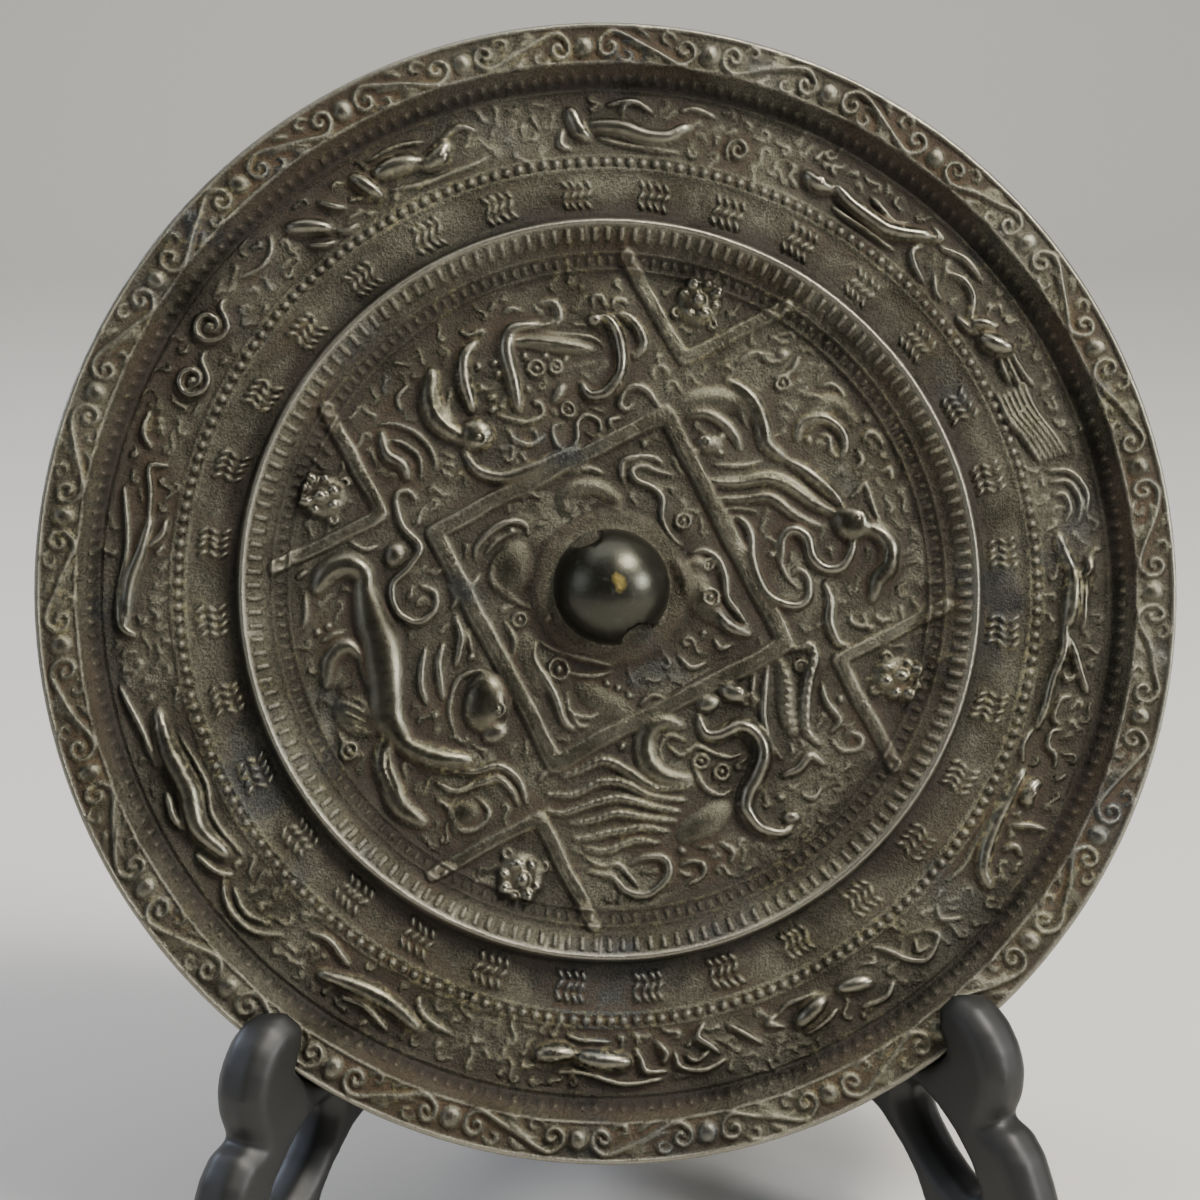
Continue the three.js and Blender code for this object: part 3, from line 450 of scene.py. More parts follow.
def carveBeasts():
    for beast in beasts.values():
        for width, rise, points in beast["limbs"]:
            carve(points, width * 1.12, rise, section=fleshy if width > 2.7 else rounded)
        for points in beast["threads"]:
            carve(points, 1.25, 0.95)
        for u, v, halfLength, halfWidth, rise, turn in beast["lumps"]:
            swellAt(u, v, halfLength, halfWidth, rise, turn)
        for u, v, radius in beast["eyes"]:
            ground = float(sample(relief, u, v))
            ringAt(u, v, radius, 0.75, ground * 0.6 + 1.1, pupil=0.42 * radius)
        for u, v in beast["pellets"]:
            swellAt(u, v, 0.85, 0.65, 1.1, 40 * u)
        for points in beast["cuts"]:
            carve(points, 0.7, 0.5, field=grooves)


# The wings and feathers are hatched across with short barbs.
def hatchFeather(points, width, pitch=1.25):
    path = smoothPath(points, pitch)
    for here, ahead in zip(path[1:-1], path[2:]):
        along = (ahead - here) / np.linalg.norm(ahead - here)
        aside = np.array([-along[1], along[0]])
        carve([here - aside * width / 2 - along * 0.5, here + aside * width / 2 + along * 0.5], 0.5, 0.32,
              field=grooves)


def hatchPhoenix():
    for width, rise, points in beasts["phoenix"]["limbs"][2:8]:
        hatchFeather(points, width)
    for width, rise, points in beasts["phoenix"]["limbs"][10:12]:
        hatchFeather(points, width, 1.5)

# ---- the twelve animals of the outer band: (width, rise, [(degrees, reach), ...])

bandAnimals = [
    (4.2, 2.3, [(91.5, 88.6), (88, 88.2), (84, 87), (81.5, 87.3), (79.5, 89.6)]),
    (1.1, 1.0, [(90.5, 86.2), (86, 84.7), (80, 84.5)]), (3.8, 2.0, [(94, 91.6), (93.2, 88.4), (92, 86.4)]),
    (1.5, 1.3, [(95, 88), (95.6, 85.6), (94.4, 84.4)]), (1.4, 1.2, [(89.4, 92.4), (86.4, 93.4), (84, 91.8)]),
    (1.4, 1.2, [(87.6, 90.6), (87.2, 92.6), (85.6, 93.4)]),
    (1.2, 1.0, [(80.6, 92.6), (79, 93.4), (76.4, 92.6)]),
    (5.2, 2.3, [(118.4, 89.8), (115.8, 89.8), (113.4, 88.8)]),
    (4.8, 2.2, [(112.9, 87.8), (111, 88.2), (109.3, 89.8)]),
    (1.1, 1.0, [(118, 86), (113, 84.4), (109, 84.8), (105, 85.8)]),
    (1.4, 1.2, [(109.6, 91.4), (107, 92.6), (105.4, 91)]),
    (1.3, 1.1, [(119, 93), (115, 93.2), (112, 92)]), (3.6, 1.9, [(121.4, 91.8), (120.4, 89), (119.5, 86)]),
    (4.0, 2.0, [(130.6, 91.4), (128.6, 89), (127, 86.6)]), (1.6, 1.3, [(126, 91.6), (125, 89.6), (124, 88)]),
    (1.4, 1.3, [(130.4, 86.8), (129, 84.6), (127.6, 83.9)]),
    (1.4, 1.2, [(126.4, 85.6), (125.4, 84.2), (124, 84)]),
    (1.2, 1.0, [(139.6, 91.6), (137, 90), (134.4, 90.6), (133, 92.6)]),
    (3.4, 1.6, [(184, 91.6), (179, 90.4), (175, 88.8), (171, 87.6)]),
    (1.3, 1.2, [(181, 93), (176, 91.4), (172, 91.8), (167.6, 93.4)]),
    (1.8, 1.4, [(174, 87), (172.4, 85), (170.6, 84.4)]),
    (1.4, 1.2, [(171, 88), (167, 88.6), (164.4, 89.6), (163.8, 86.6)]),
    (2.6, 1.7, [(185, 90), (183.6, 92), (180.4, 92.4)]),
    (1.4, 1.2, [(162.4, 90.4), (161, 92.6), (158.4, 92.8)]),
    (5.4, 2.3, [(213.6, 88), (209.4, 89.5), (204.4, 88.1), (199.4, 88.5), (194.6, 88.2)]),
    (1.6, 1.3, [(200.6, 91.4), (196, 92), (190.6, 94)]),
    (1.2, 1.0, [(215, 85.4), (209, 86), (204, 84.4), (198, 85.4)]),
    (1.6, 1.3, [(212, 92.6), (214.6, 91.4), (216, 89)]), (1.8, 1.3, [(204, 92), (206.6, 92.6), (208.6, 92)]),
    (1.5, 1.1, [(225.4, 89.6), (222.4, 93.2), (218.4, 93.2), (215.6, 90.6)]),
    (1.3, 1.0, [(223.6, 89.6), (220.4, 91.4), (217.4, 90.2)]),
    (4.4, 2.0, [(245, 90), (241, 88.4), (236.4, 88.6), (232, 90.6)]),
    (1.6, 1.2, [(242, 93), (238.4, 90.8), (235.4, 92)]),
    (1.6, 1.2, [(234, 86.2), (230.4, 84.8), (227.6, 86)]),
    (1.4, 1.1, [(249, 89), (246.4, 88.4), (244.4, 86.8), (243.8, 85)]),
    (5.0, 2.2, [(270.6, 89), (267.6, 88.8), (264.8, 88)]),
    (4.8, 2.2, [(264, 87.6), (262.2, 87.8), (260, 88.8)]),
    (1.4, 1.2, [(274.4, 93), (270, 93), (266, 91.4), (262.4, 91.6)]),
    (1.5, 1.3, [(275, 91.6), (272.8, 91), (272.3, 88.6), (271.8, 87)]),
    (1.2, 1.0, [(268.4, 85.4), (265, 85), (263, 84.2)]), (1.5, 1.3, [(274.6, 86), (275.6, 88), (275, 90)]),
    (1.4, 1.2, [(282.6, 91), (279.6, 92.2), (276.9, 91), (276.6, 88)]),
    (1.6, 1.4, [(282, 89.6), (281.2, 88.2), (279.7, 86), (280.6, 84)]),
    (1.2, 1.1, [(281, 88.9), (279, 90.3), (278, 89)]),
    (1.3, 1.2, [(287, 90), (286, 88), (284.6, 86), (283.6, 85)]),
    (4.8, 2.1, [(296, 87.2), (294, 88), (292.4, 89.2)]), (4.2, 2.0, [(302, 89), (300.4, 88), (298.8, 87)]),
    (1.4, 1.3, [(297, 90.2), (295, 91.2), (292.6, 91.4)]),
    (1.2, 1.1, [(296, 85.4), (292.4, 84.8), (290.4, 86)]),
    (1.3, 1.2, [(290.4, 88.6), (288.6, 87), (290, 86.2)]),
    (1.4, 1.2, [(304.4, 91.4), (302.4, 92.8), (299.6, 92)]),
    (1.5, 1.2, [(311.4, 88), (312, 90.4), (309, 92.2), (307.4, 90), (306.2, 86), (304.8, 83.8)]),
    (1.2, 1.0, [(309.6, 88), (308.8, 90), (310.4, 90.6)]),
    (1.2, 1.0, [(315.6, 91), (313.6, 88.4), (314.4, 86)]),
    (3.8, 2.1, [(335, 85.7), (330, 85), (325.2, 85.8), (321.8, 88.2), (320.5, 91.2)]),
    (4.0, 2.1, [(334.6, 89), (333, 88), (331.6, 88.8)]),
    (1.5, 1.4, [(329.7, 94), (329.2, 91), (328.2, 88.4)]),
    (1.4, 1.2, [(325.6, 93), (326.4, 91), (325, 89.4)]),
    (1.1, 0.9, [(333, 83.6), (326, 83.7), (321, 84.8), (317.6, 84.2)]),
    (4.4, 2.2, [(1, 88.6), (-2, 88.3), (-5.4, 87.5)]),
    (2.6, 1.7, [(-5, 87), (-9, 87.2), (-13, 86), (-19, 85.3)]),
    (1.8, 1.4, [(-6, 87), (-9, 89.4), (-13.5, 93)]), (1.7, 1.4, [(0.6, 91), (-2, 90.6), (-5.8, 90.4)]),
    (2.4, 1.8, [(2.4, 92), (1, 91.4), (0.2, 90)]), (3.4, 1.7, [(5.6, 86.4), (3, 87), (0.6, 88.6)]),
    (1.3, 1.1, [(-14.4, 90), (-15, 88.1), (-17.2, 87.7), (-18, 89.6)]),
    (1.3, 1.1, [(-18.6, 90), (-19, 88.2), (-21, 88.3), (-21.6, 90), (-23, 91)]),
    (1.2, 1.0, [(-11.4, 90.6), (-12.6, 89), (-11.6, 87.9)]),
    (1.3, 1.1, [(-19.6, 84.6), (-22, 83.9), (-24, 85)]),
    (1.5, 1.2, [(14.2, 87), (13.2, 91), (10.4, 93.3), (7.6, 92.3)]),
    (1.3, 1.1, [(12.6, 87), (12, 90.2), (9.6, 91.8), (6.8, 90.8)]),
    (1.3, 1.1, [(10.8, 86.6), (10.6, 88.8), (8.6, 89.6), (7.2, 88.4)]),
    (3.6, 2.0, [(35.2, 86), (34.2, 88), (33, 89.4)]),
    (4.6, 2.7, [(32.8, 86.4), (31.2, 87.6), (29.8, 89.4)]),
    (1.8, 1.4, [(36.8, 84.6), (35, 85), (33.6, 85.8)]),
    (1.3, 1.2, [(29.6, 89.6), (27.4, 89.5), (24.6, 90)]),
    (1.2, 1.1, [(29.4, 88.4), (27.6, 88.1), (25.4, 88)]),
    (1.2, 1.1, [(29.4, 87.2), (27.8, 86.8), (26.2, 86.6)]),
    (4.2, 2.3, [(59.4, 88.4), (55.6, 87), (52, 86.8), (49.4, 88.4), (46.8, 91.2)]),
    (3.8, 2.0, [(63.6, 88), (61.8, 87), (60, 87.6)]), (1.5, 1.2, [(55, 90.6), (51.4, 89.2), (49.6, 90.8)]),
    (1.5, 1.2, [(46.6, 91), (45.4, 92.6), (47, 93)]), (1.3, 1.1, [(58.6, 84.6), (54, 84.1), (49, 84.8)]),
    (1.6, 1.3, [(46.6, 89), (46.9, 86.6), (45.2, 84.8), (43.4, 84.2)]),
    (1.6, 1.3, [(44.8, 91.4), (42, 93), (38.6, 92.8)]),
    (1.6, 1.3, [(42.4, 88.8), (40, 90.2), (37.6, 89.4), (36, 86.8), (34.4, 84.4)]),
    (1.3, 1.1, [(43, 86.8), (41.4, 84.6), (39.8, 84.2)]),
]
roosterTail = {"count": 6, "start": (25.4, 88.6), "fall": 1.05, "end": (15.4, 91.4)}


def carveAround(width, rise, places, tip=0.4, section=rounded):
    carve([polar(degrees, reach) for degrees, reach in places], width, rise, tip, section)


def carveBand():
    for width, rise, places in bandAnimals:
        carveAround(width, rise, places, 0.55, fleshy if width > 2.4 else rounded)
    firstTurn, firstReach = roosterTail["start"]
    lastTurn, lastReach = roosterTail["end"]
    for k in range(roosterTail["count"]):
        drop = k * roosterTail["fall"]
        carveAround(1.05, 1.2, [(firstTurn, firstReach - drop), (firstTurn - 3.4, firstReach - drop - 0.4),
                                (lastTurn + 2.6, lastReach - drop - 1.4), (lastTurn, lastReach - drop)], 0.6)
    for degrees, reach, radius in ((146, 90.5, 3.5), (152.8, 88.2, 3.4)):  # the coiled snake
        curlAt(*polar(degrees, reach), radius, degrees, 1.7, 1.5, 1.5, 2.5)
        swellAt(*polar(degrees, reach), 0.9, 0.9, 1.5)
    curlAt(*polar(72.8, 87.4), 2.5, 0, 1.6, 1.1, 1.2)
    for degrees, reach in ((93, 87.6), (110.4, 88), (61.6, 87.4), (196.2, 88.2), (262, 88.2), (333, 88.4),
                           (297, 86.6)):
        ground = float(sample(relief, *polar(degrees, reach)))
        ringAt(*polar(degrees, reach), 0.85, 0.55, ground + 0.35, pupil=0.35)


# ---- bars, Vs and masks

squareLook = {"half": 24.75, "bar": 3.6, "rise": 1.1}
vLook = {"reach": 45.6, "arm": 22.5, "bar": 2.9, "rise": 1.1}
maskLook = {
    "reach": 57.3,
    "body": (4.9, 4.5),
    "bodyRise": 1.9,
    "pawReach": 4.9,
    # out, aside, half width and rise of each knob
    "knobs": [(2.7, -2.4, 1.35, 2.8), (3.4, -0.3, 1.15, 2.6), (2.5, 2.1, 1.45, 2.9), (0.5, -3.1, 1.2, 2.3),
              (0.3, 0.3, 1.75, 3.3), (0.6, 3.1, 1.1, 2.2), (-1.9, -1.5, 1.5, 2.6), (-2.6, 1.2, 1.2, 2.3)],
}


def carveBars():
    corner = squareLook["half"] * math.sqrt(2)
    turns = [mirrorLook["patternTurn"] + 45 + 90 * k for k in range(4)]
    for turn in turns:
        carve([polar(turn, corner), polar(turn + 90, corner)], squareLook["bar"], squareLook["rise"], 1,
              channelled)
        tipPlace = np.array(polar(turn, vLook["reach"]))
        for side in (-45, 45):
            armEnd = tipPlace + polar(turn + side, vLook["arm"])
            carve([tipPlace, armEnd], vLook["bar"], vLook["rise"], 1, channelled)


# A crouching mask: a huddle of bright knobs, brow outwards and muzzle towards the middle.
def carveMask(turn):
    middle = np.array(polar(turn, maskLook["reach"]))
    swellAt(*middle, *maskLook["body"], maskLook["bodyRise"], turn)
    for out, aside, half, rise in maskLook["knobs"]:
        u, v = middle + np.array(polar(turn, out)) + polar(turn + 90, aside)
        swellAt(u, v, half * 1.15, half, rise, turn + 30 * aside)
    for side in (-1, 1):
        inward = middle + polar(turn + 180 + 46 * side, maskLook["pawReach"])
        curlAt(*inward, 1.2, turn, 1.1, 0.8, 1.3, 0.8, side)


# ---- scrolled border: a boss every thirteen degrees and a double-ended scroll between each two

borderLook = {"bosses": 27, "reach": 103.1, "bossRadius": 2.05, "start": 118.55}
scrollHalf = [(0.0, 0.0), (2.6, -1.1), (5.4, -2.3), (7.4, -2.5), (9.1, -1.0), (9.0, 1.0), (7.5, 1.9),
              (6.2, 1.0),
              (6.3, -0.3), (7.3, -0.6), (7.7, 0.2)]


def onBorder(degrees, x, y):
    reach = borderLook["reach"]
    return polar(degrees - math.degrees(x / reach), reach + y)


def carveBorder():
    pitch = 360 / borderLook["bosses"]
    for i in range(borderLook["bosses"]):
        boss = borderLook["start"] - i * pitch
        swellAt(*polar(boss, borderLook["reach"]), 1.1 * borderLook["bossRadius"], borderLook["bossRadius"],
                1.25, boss)
        middle = boss - pitch / 2
        lean = 1 if i % 2 == 0 else -1
        whole = [(-x, -y) for x, y in scrollHalf[:0:-1]] + scrollHalf
        carve([onBorder(middle, x, lean * y) for x, y in whole], 1.15, 0.95, 0.8)
        beside = [(-5.2, 1.1), (-2.2, 0.4), (2.6, -2.1)]
        carve([onBorder(middle, x + 0.4, lean * (y - 0.35)) for x, y in beside], 1.0, 0.75, 0.5)
        for side in (-1, 1):
            hook = [(5.4, 1.9), (4.5, 2.9), (3.0, 2.6), (2.9, 1.3), (4.0, 1.1)]
            carve([onBorder(middle, side * x, lean * side * y) for x, y in hook], 0.85, 0.75, 0.6)
            leaf = [(0.6, 1.2), (-0.6, 2.4), (-2.4, 3.0)]
            carve([onBorder(middle, side * x, lean * side * y) for x, y in leaf], 1.5, 0.6, 0.3)


# ---- band of strokes: thirty-two blocks of short slanted dashes, each row leaning against the next

strokeBand = {
    "blocks": 32, "reach": 75.3, "rows": 3, "rowStep": 2.1, "columns": 4, "columnStep": 1.5,
    "slant": 56, "half": 0.75, "width": 0.85, "rise": 0.95, "stray": 0.15, "seed": 5,
}


def carveStrokes():
    chance = np.random.default_rng(strokeBand["seed"])
    for k in range(strokeBand["blocks"]):
        middle = 360 / strokeBand["blocks"] * (k + 0.35)
        for row in range(strokeBand["rows"]):
            slant = math.radians(strokeBand["slant"] * (-1) ** row)
            for column in range(strokeBand["columns"]):
                x = (column - (strokeBand["columns"] - 1) / 2) * strokeBand["columnStep"]
                y = (row - (strokeBand["rows"] - 1) / 2) * strokeBand["rowStep"]
                x, y = np.array([x, y]) + chance.uniform(-1, 1, 2) * strokeBand["stray"]
                run, lift = strokeBand["half"] * math.cos(slant), strokeBand["half"] * math.sin(slant)
                places = [(middle + math.degrees((x + s * run) / strokeBand["reach"]),
                           strokeBand["reach"] + y + s * lift) for s in (-1, 0, 1)]
                carveAround(strokeBand["width"], strokeBand["rise"], places, 0.75)


# ---- cloud curls that fill the ground between the figures

fillLook = {"tries": 2600, "sizes": [(0.7, 1.5), (0.4, 0.75)], "seed": 23}


def isClear(u, v, clear):
    place, across, along = window((u - clear, v - clear), (u + clear, v + clear))
    return relief[place].max() < 0.25


def fillWithCurls(lowReach, highReach, sizes, chance):
    for _ in range(fillLook["tries"]):
        degrees, reach = chance.uniform(0, 360), math.sqrt(chance.uniform(lowReach ** 2, highReach ** 2))
        u, v = polar(degrees, reach)
        radius = chance.uniform(*sizes)
        start, hand, tail = chance.uniform(0, 360), chance.choice([-1, 1]), chance.uniform(0.8, 3.0)
        if isClear(u, v, radius + 0.35):
            curlAt(u, v, radius, start, chance.uniform(0.6, 1.15), 0.85, chance.uniform(0.4, 0.7), tail, hand)


def carveRelief():
    carveBars()
    carveBeasts()
    hatchPhoenix()
    carveBand()
    chance = np.random.default_rng(fillLook["seed"])
    for sizes in fillLook["sizes"]:
        fillWithCurls(17.5, 59.2, sizes, chance)
        fillWithCurls(84.2, 93.9, sizes, chance)
    for k in range(4):
        carveMask(mirrorLook["patternTurn"] + 45 + 90 * k)
    carveBorder()
    carveStrokes()


# ---- rings, beads and teeth, worked out from reach and direction

beadRow = {"reach": 81.5, "count": 215, "radius": 0.88, "rise": 0.95}
fineLines = [(60.9, 0.35, 0.45), (63.95, 0.3, 0.4), (80.2, 0.3, 0.4), (82.75, 0.3, 0.35), (95.3, 0.35, 0.45),
             (99.95, 0.3, 0.4), (71.4, 0.3, 0.25)]  # reach, half width, rise
combs = [(61.5, 63.5, 190, 0.4), (65.6, 68.6, 165, 0.6), (96.2, 98.2, 240, 0.45)]  # from, to, count, rise


def ringDetail(u, v):
    reach, turn = np.hypot(u, v), np.arctan2(v, u)
    height = np.zeros_like(reach)
    for place, half, rise in fineLines:
        height = np.maximum(height, rise * rounded(np.abs(reach - place) / half))
    pitch = 2 * math.pi / beadRow["count"]
    aside = ((turn / pitch) % 1 - 0.5) * pitch * beadRow["reach"]
    away = np.hypot(aside, reach - beadRow["reach"]) / beadRow["radius"]
    height = np.maximum(height, beadRow["rise"] * rounded(away))
    for low, high, count, rise in combs:
        inside = ((reach - low) / 0.5).clip(0, 1) * ((high - reach) / 0.5).clip(0, 1)
        tooth = (0.1 + 1.2 * np.cos(count * turn)).clip(0, 1)
        height = np.maximum(height, rise * inside * tooth)
    return height

# ---- from the map to one closed mesh

castLook = {
    "swell": 0.1,  # slow unevenness of the casting
    "wander": 0.16,  # how far the lines stray from true
    "pitted": (-5.0, 11.5, 5.5, 0.4),  # corroded patch beside the knob: u, v, reach, depth
    "brassSpot": (0.9, 0.6, 1.3),  # bare metal rubbed through on the knob's top: u, v, reach
    "fieldRelief": 0.88,
    # dirt on the slopes, also used to paint shade on them: reach, half width, how much
    "slopeDirtAndShade": [(97.6, 2.3, 0.95), (62.6, 2.6, 0.55), (67.2, 1.6, 0.5), (70.9, 0.9, 0.8), (14.5, 2.6, 0.6)],
}


def finishRelief():
    global relief, raised
    u, v = np.meshgrid(axis, axis)
    reach = np.hypot(u, v)
    strayU, strayV = unevenness(1, 2.4), unevenness(2, 2.4)
    figures = soften(relief - np.minimum(grooves, 0.7 * relief), 0.12)
    figures = sample(figures, u + castLook["wander"] * strayU, v + castLook["wander"] * strayV)
    figures *= np.where(reach < 60.5, castLook["fieldRelief"], 1)
    raised = figures / 1.6
    worn = 1 - 0.1 * unevenness(3, 9.0)
    skin = castLook["swell"] * unevenness(6, 5.0)
    pitU, pitV, pitReach, depth = castLook["pitted"]
    pitting = np.exp(-(np.hypot(u - pitU, v - pitV) / pitReach) ** 2)
    skin -= depth * pitting * unevenness(7, 0.45).clip(0, 2)
    onBody = ((reach - 11.6) / 1.2).clip(0, 1)
    atEdge = ((107.3 - reach) / 0.5).clip(0.25, 1)
    relief = (figures * worn.clip(0.75, 1.25) + skin * (0.35 + 0.65 * onBody)) * atEdge
    relief = np.where(reach < 11.2, skin * 0.25, relief)
    return np.interp(reach, profile[:, 0], profile[:, 1]) + ringDetail(u, v) + relief


def knobProfile():
    lift = np.sin(np.linspace(math.pi / 2, 0.05, 34))
    reach = mirrorLook["knobRadius"] * np.sqrt(1 - lift ** 2)
    return np.column_stack([reach,
                            mirrorLook["knobFoot"] + (mirrorLook["knobTop"] - mirrorLook["knobFoot"]) * lift])


def facePart(reach):
    return mirrorLook["faceBulge"] * (reach / mirrorLook["radius"]) ** 2


def walkProfile():
    steps = np.hypot(*np.diff(profile, axis=0).T)
    along = np.concatenate([[0], np.cumsum(steps)])
    marks = np.arange(0.3, along[-1], mirrorLook["ringStep"])
    front = np.column_stack([np.interp(marks, along, column) for column in profile.T])
    side = [(107.5, z) for z in (8.45, 7.4, 6.2, 5.0, 3.8, 2.7)] + [(107.35, 2.2), (107.0, 1.75)]
    back = [(reach, facePart(reach)) for reach in (106.2, 104, 101, 97, 92, 86, 80, 74, 68, 60, 52, 44, 36,
                                                   28, 20, 12, 5)]
    return np.vstack([knobProfile()[1:], front, side, back]), len(knobProfile()) - 1 + len(front)


def ringCount(reach):
    count = mirrorLook["roundCount"]
    for limit in (54, 27, 13.5, 6.7, 3.3, 1.6):
        if reach < limit:
            count //= 2
    return max(count, 45)


def bridge(outer, outerCount, inner, innerCount):
    if outerCount == innerCount:
        j = np.arange(outerCount)
        k = (j + 1) % outerCount
        return np.vstack([np.column_stack([outer + j, inner + j, inner + k]),
                          np.column_stack([outer + j, inner + k, outer + k])])
    j = np.arange(innerCount)
    k = (j + 1) % innerCount
    even, odd, after = outer + 2 * j, outer + 2 * j + 1, outer + (2 * j + 2) % outerCount
    return np.vstack([np.column_stack([even, inner + j, odd]), np.column_stack([odd, inner + j, inner + k]),
                      np.column_stack([odd, inner + k, after])])


def discMesh():
    rings, frontRings = walkProfile()
    points, triangles, starts = [], [], []
    total = 0
    for index, (reach, height) in enumerate(rings):
        count = ringCount(reach)
        turn = np.arange(count) * 2 * math.pi / count
        u, v = reach * np.cos(turn), reach * np.sin(turn)
        w = np.full(count, height)
        if index < frontRings:
            w += ringDetail(u, v) + sample(relief, u, v)
        points.append(np.column_stack([u, v, w]))
        starts.append((total, count))
        total += count
    for (first, firstCount), (second, secondCount) in zip(starts, starts[1:]):
        if firstCount >= secondCount:
            triangles.append(bridge(first, firstCount, second, secondCount))
        else:
            triangles.append(bridge(second, secondCount, first, firstCount)[:, ::-1])
    top, bottom = total, total + 1
    points.append([(0, 0, mirrorLook["knobTop"]), (0, 0, 0)])
    for centre, (start, count), flip in ((top, starts[0], 1), (bottom, starts[-1], -1)):
        j = np.arange(count)
        cap = np.column_stack([np.full(count, centre), start + j, start + (j + 1) % count])
        triangles.append(cap[:, ::flip])
    return np.vstack(points), np.vstack(triangles)


cordLook = {"width": 6.4, "height": 5.2, "floor": 4.15, "turn": -63.5, "length": 26}


# An arch-topped tunnel through the knob's foot, in the mirror's frame.
def cordTunnel():
    half, sides = cordLook["width"] / 2, 14
    arch = [(-half, 0), (half, 0)]
    for k in range(sides + 1):
        angle = math.pi * k / sides
        arch.append((half * math.cos(angle), cordLook["height"] - half + half * math.sin(angle)))
    arch = np.array(arch[:1] + arch[1:-1])
    turn = math.radians(cordLook["turn"])
    ahead, aside = np.array([math.cos(turn), math.sin(turn)]), np.array([-math.sin(turn), math.cos(turn)])
    ends = []
    for reach in (-cordLook["length"] / 2, cordLook["length"] / 2):
        flat = ahead * reach + arch[:, :1] * aside
        ends.append(np.column_stack([flat, cordLook["floor"] + arch[:, 1]]))
    count = len(arch)
    j = np.arange(count)
    k = (j + 1) % count
    walls = np.vstack([np.column_stack([j, k, k + count]), np.column_stack([j, k + count, j + count])])
    caps = np.vstack([[(0, m + 1, m), (count, count + m, count + m + 1)] for m in range(1, count - 1)])
    return newObject("cordTunnel", np.vstack(ends) * mm, np.vstack([walls, caps]))


def makeMirror():
    heights = finishRelief()
    points, triangles = discMesh()
    mirror = newObject("mirror_disc", points * mm, triangles)
    print("mirror, before thinning:", len(triangles), "triangles")
    thin = mirror.modifiers.new("thin", "DECIMATE")
    thin.ratio = mirrorLook["triangles"] / len(triangles)
    applyModifiers(mirror)
    tunnel = cordTunnel()
    cut = mirror.modifiers.new("cut", "BOOLEAN")
    cut.operation, cut.object, cut.solver = "DIFFERENCE", tunnel, "MANIFOLD"
    applyModifiers(mirror)
    bpy.data.objects.remove(tunnel)
    storeSurfaceValues(mirror, heights)
    mirror.data.transform(mirrorPlace)
    mirror.data.shade_smooth()
    print("mirror:", len(mirror.data.polygons), "faces")
    return mirror


# Values the bronze reads: high and low spots, how far a figure stands up, and which face is which.
def storeSurfaceValues(mirror, heights):
    places = vertexPlaces(mirror) / mm
    u, v, w = places.T
    reach = np.hypot(u, v)
    fine = (heights - soften(heights, 0.9)) / 0.35
    broad = (heights - soften(heights, 3.2)) / 0.9
    front = (w > 2.9) & (reach < 107.4)
    onKnob = reach < 11.4
    storeValue(mirror, "high", np.where(front & ~onKnob, sample(fine, u, v), 0).clip(-1, 1))
    storeValue(mirror, "broad", np.where(front & ~onKnob, sample(broad, u, v), 0).clip(-1, 1))
    storeValue(mirror, "front", front.astype(float))
    storeValue(mirror, "knob", (onKnob & (w > 4.4)).astype(float))
    across, along = np.meshgrid(axis, axis)
    standing = heights - np.interp(np.hypot(across, along), profile[:, 0], profile[:, 1])
    steep = soften(np.hypot(*np.gradient(standing, mapStep)), 0.25)
    figures = sample(raised, u, v)
    storeValue(mirror, "raised", np.where(front & ~onKnob, figures, 0).clip(0, 1))
    # ridge and rim tops: bare worn metal, with a painted highlight along them
    ridgeWearAndHighlight = np.exp(-((reach - 69.5) / 0.55) ** 2) + np.exp(-((reach - 107.1) / 0.45) ** 2)
    storeValue(mirror, "ridgeWearAndHighlight", np.where(w > 6, ridgeWearAndHighlight, 0))
    # dirt on the ring slopes and the knob's foot, also used as painted shade there
    slopeDirtAndShade = sum(much * np.exp(-((reach - middle) / half) ** 4) for middle, half, much in castLook["slopeDirtAndShade"])
    storeValue(mirror, "slopeDirtAndShade", np.where(front, slopeDirtAndShade, 0))
    spotU, spotV, spotReach = castLook["brassSpot"]
    storeValue(mirror, "brass", np.where(onKnob & (w > 12), np.hypot(u - spotU, v - spotV) < spotReach, 0))
    storeValue(mirror, "steep", np.where(front & ~onKnob, sample(steep, u, v), 0).clip(0, 1.5))

# ---- materials

bronzeLook = {
    # worn: pale metal on the tops, partly bare wear and partly a painted highlight
    "metal": "#646255", "metalDark": "#403e33", "worn": "#9b988a", "rust": "#43331b", "silt": "#807954",
    "slate": "#3d4145", "knob": "#42423a", "brass": "#c9b46a",
    "grainMm": 0.5, "fleckMm": 1.5, "blotchMm": 13, "patchMm": 24, "pitMm": 0.36,
}
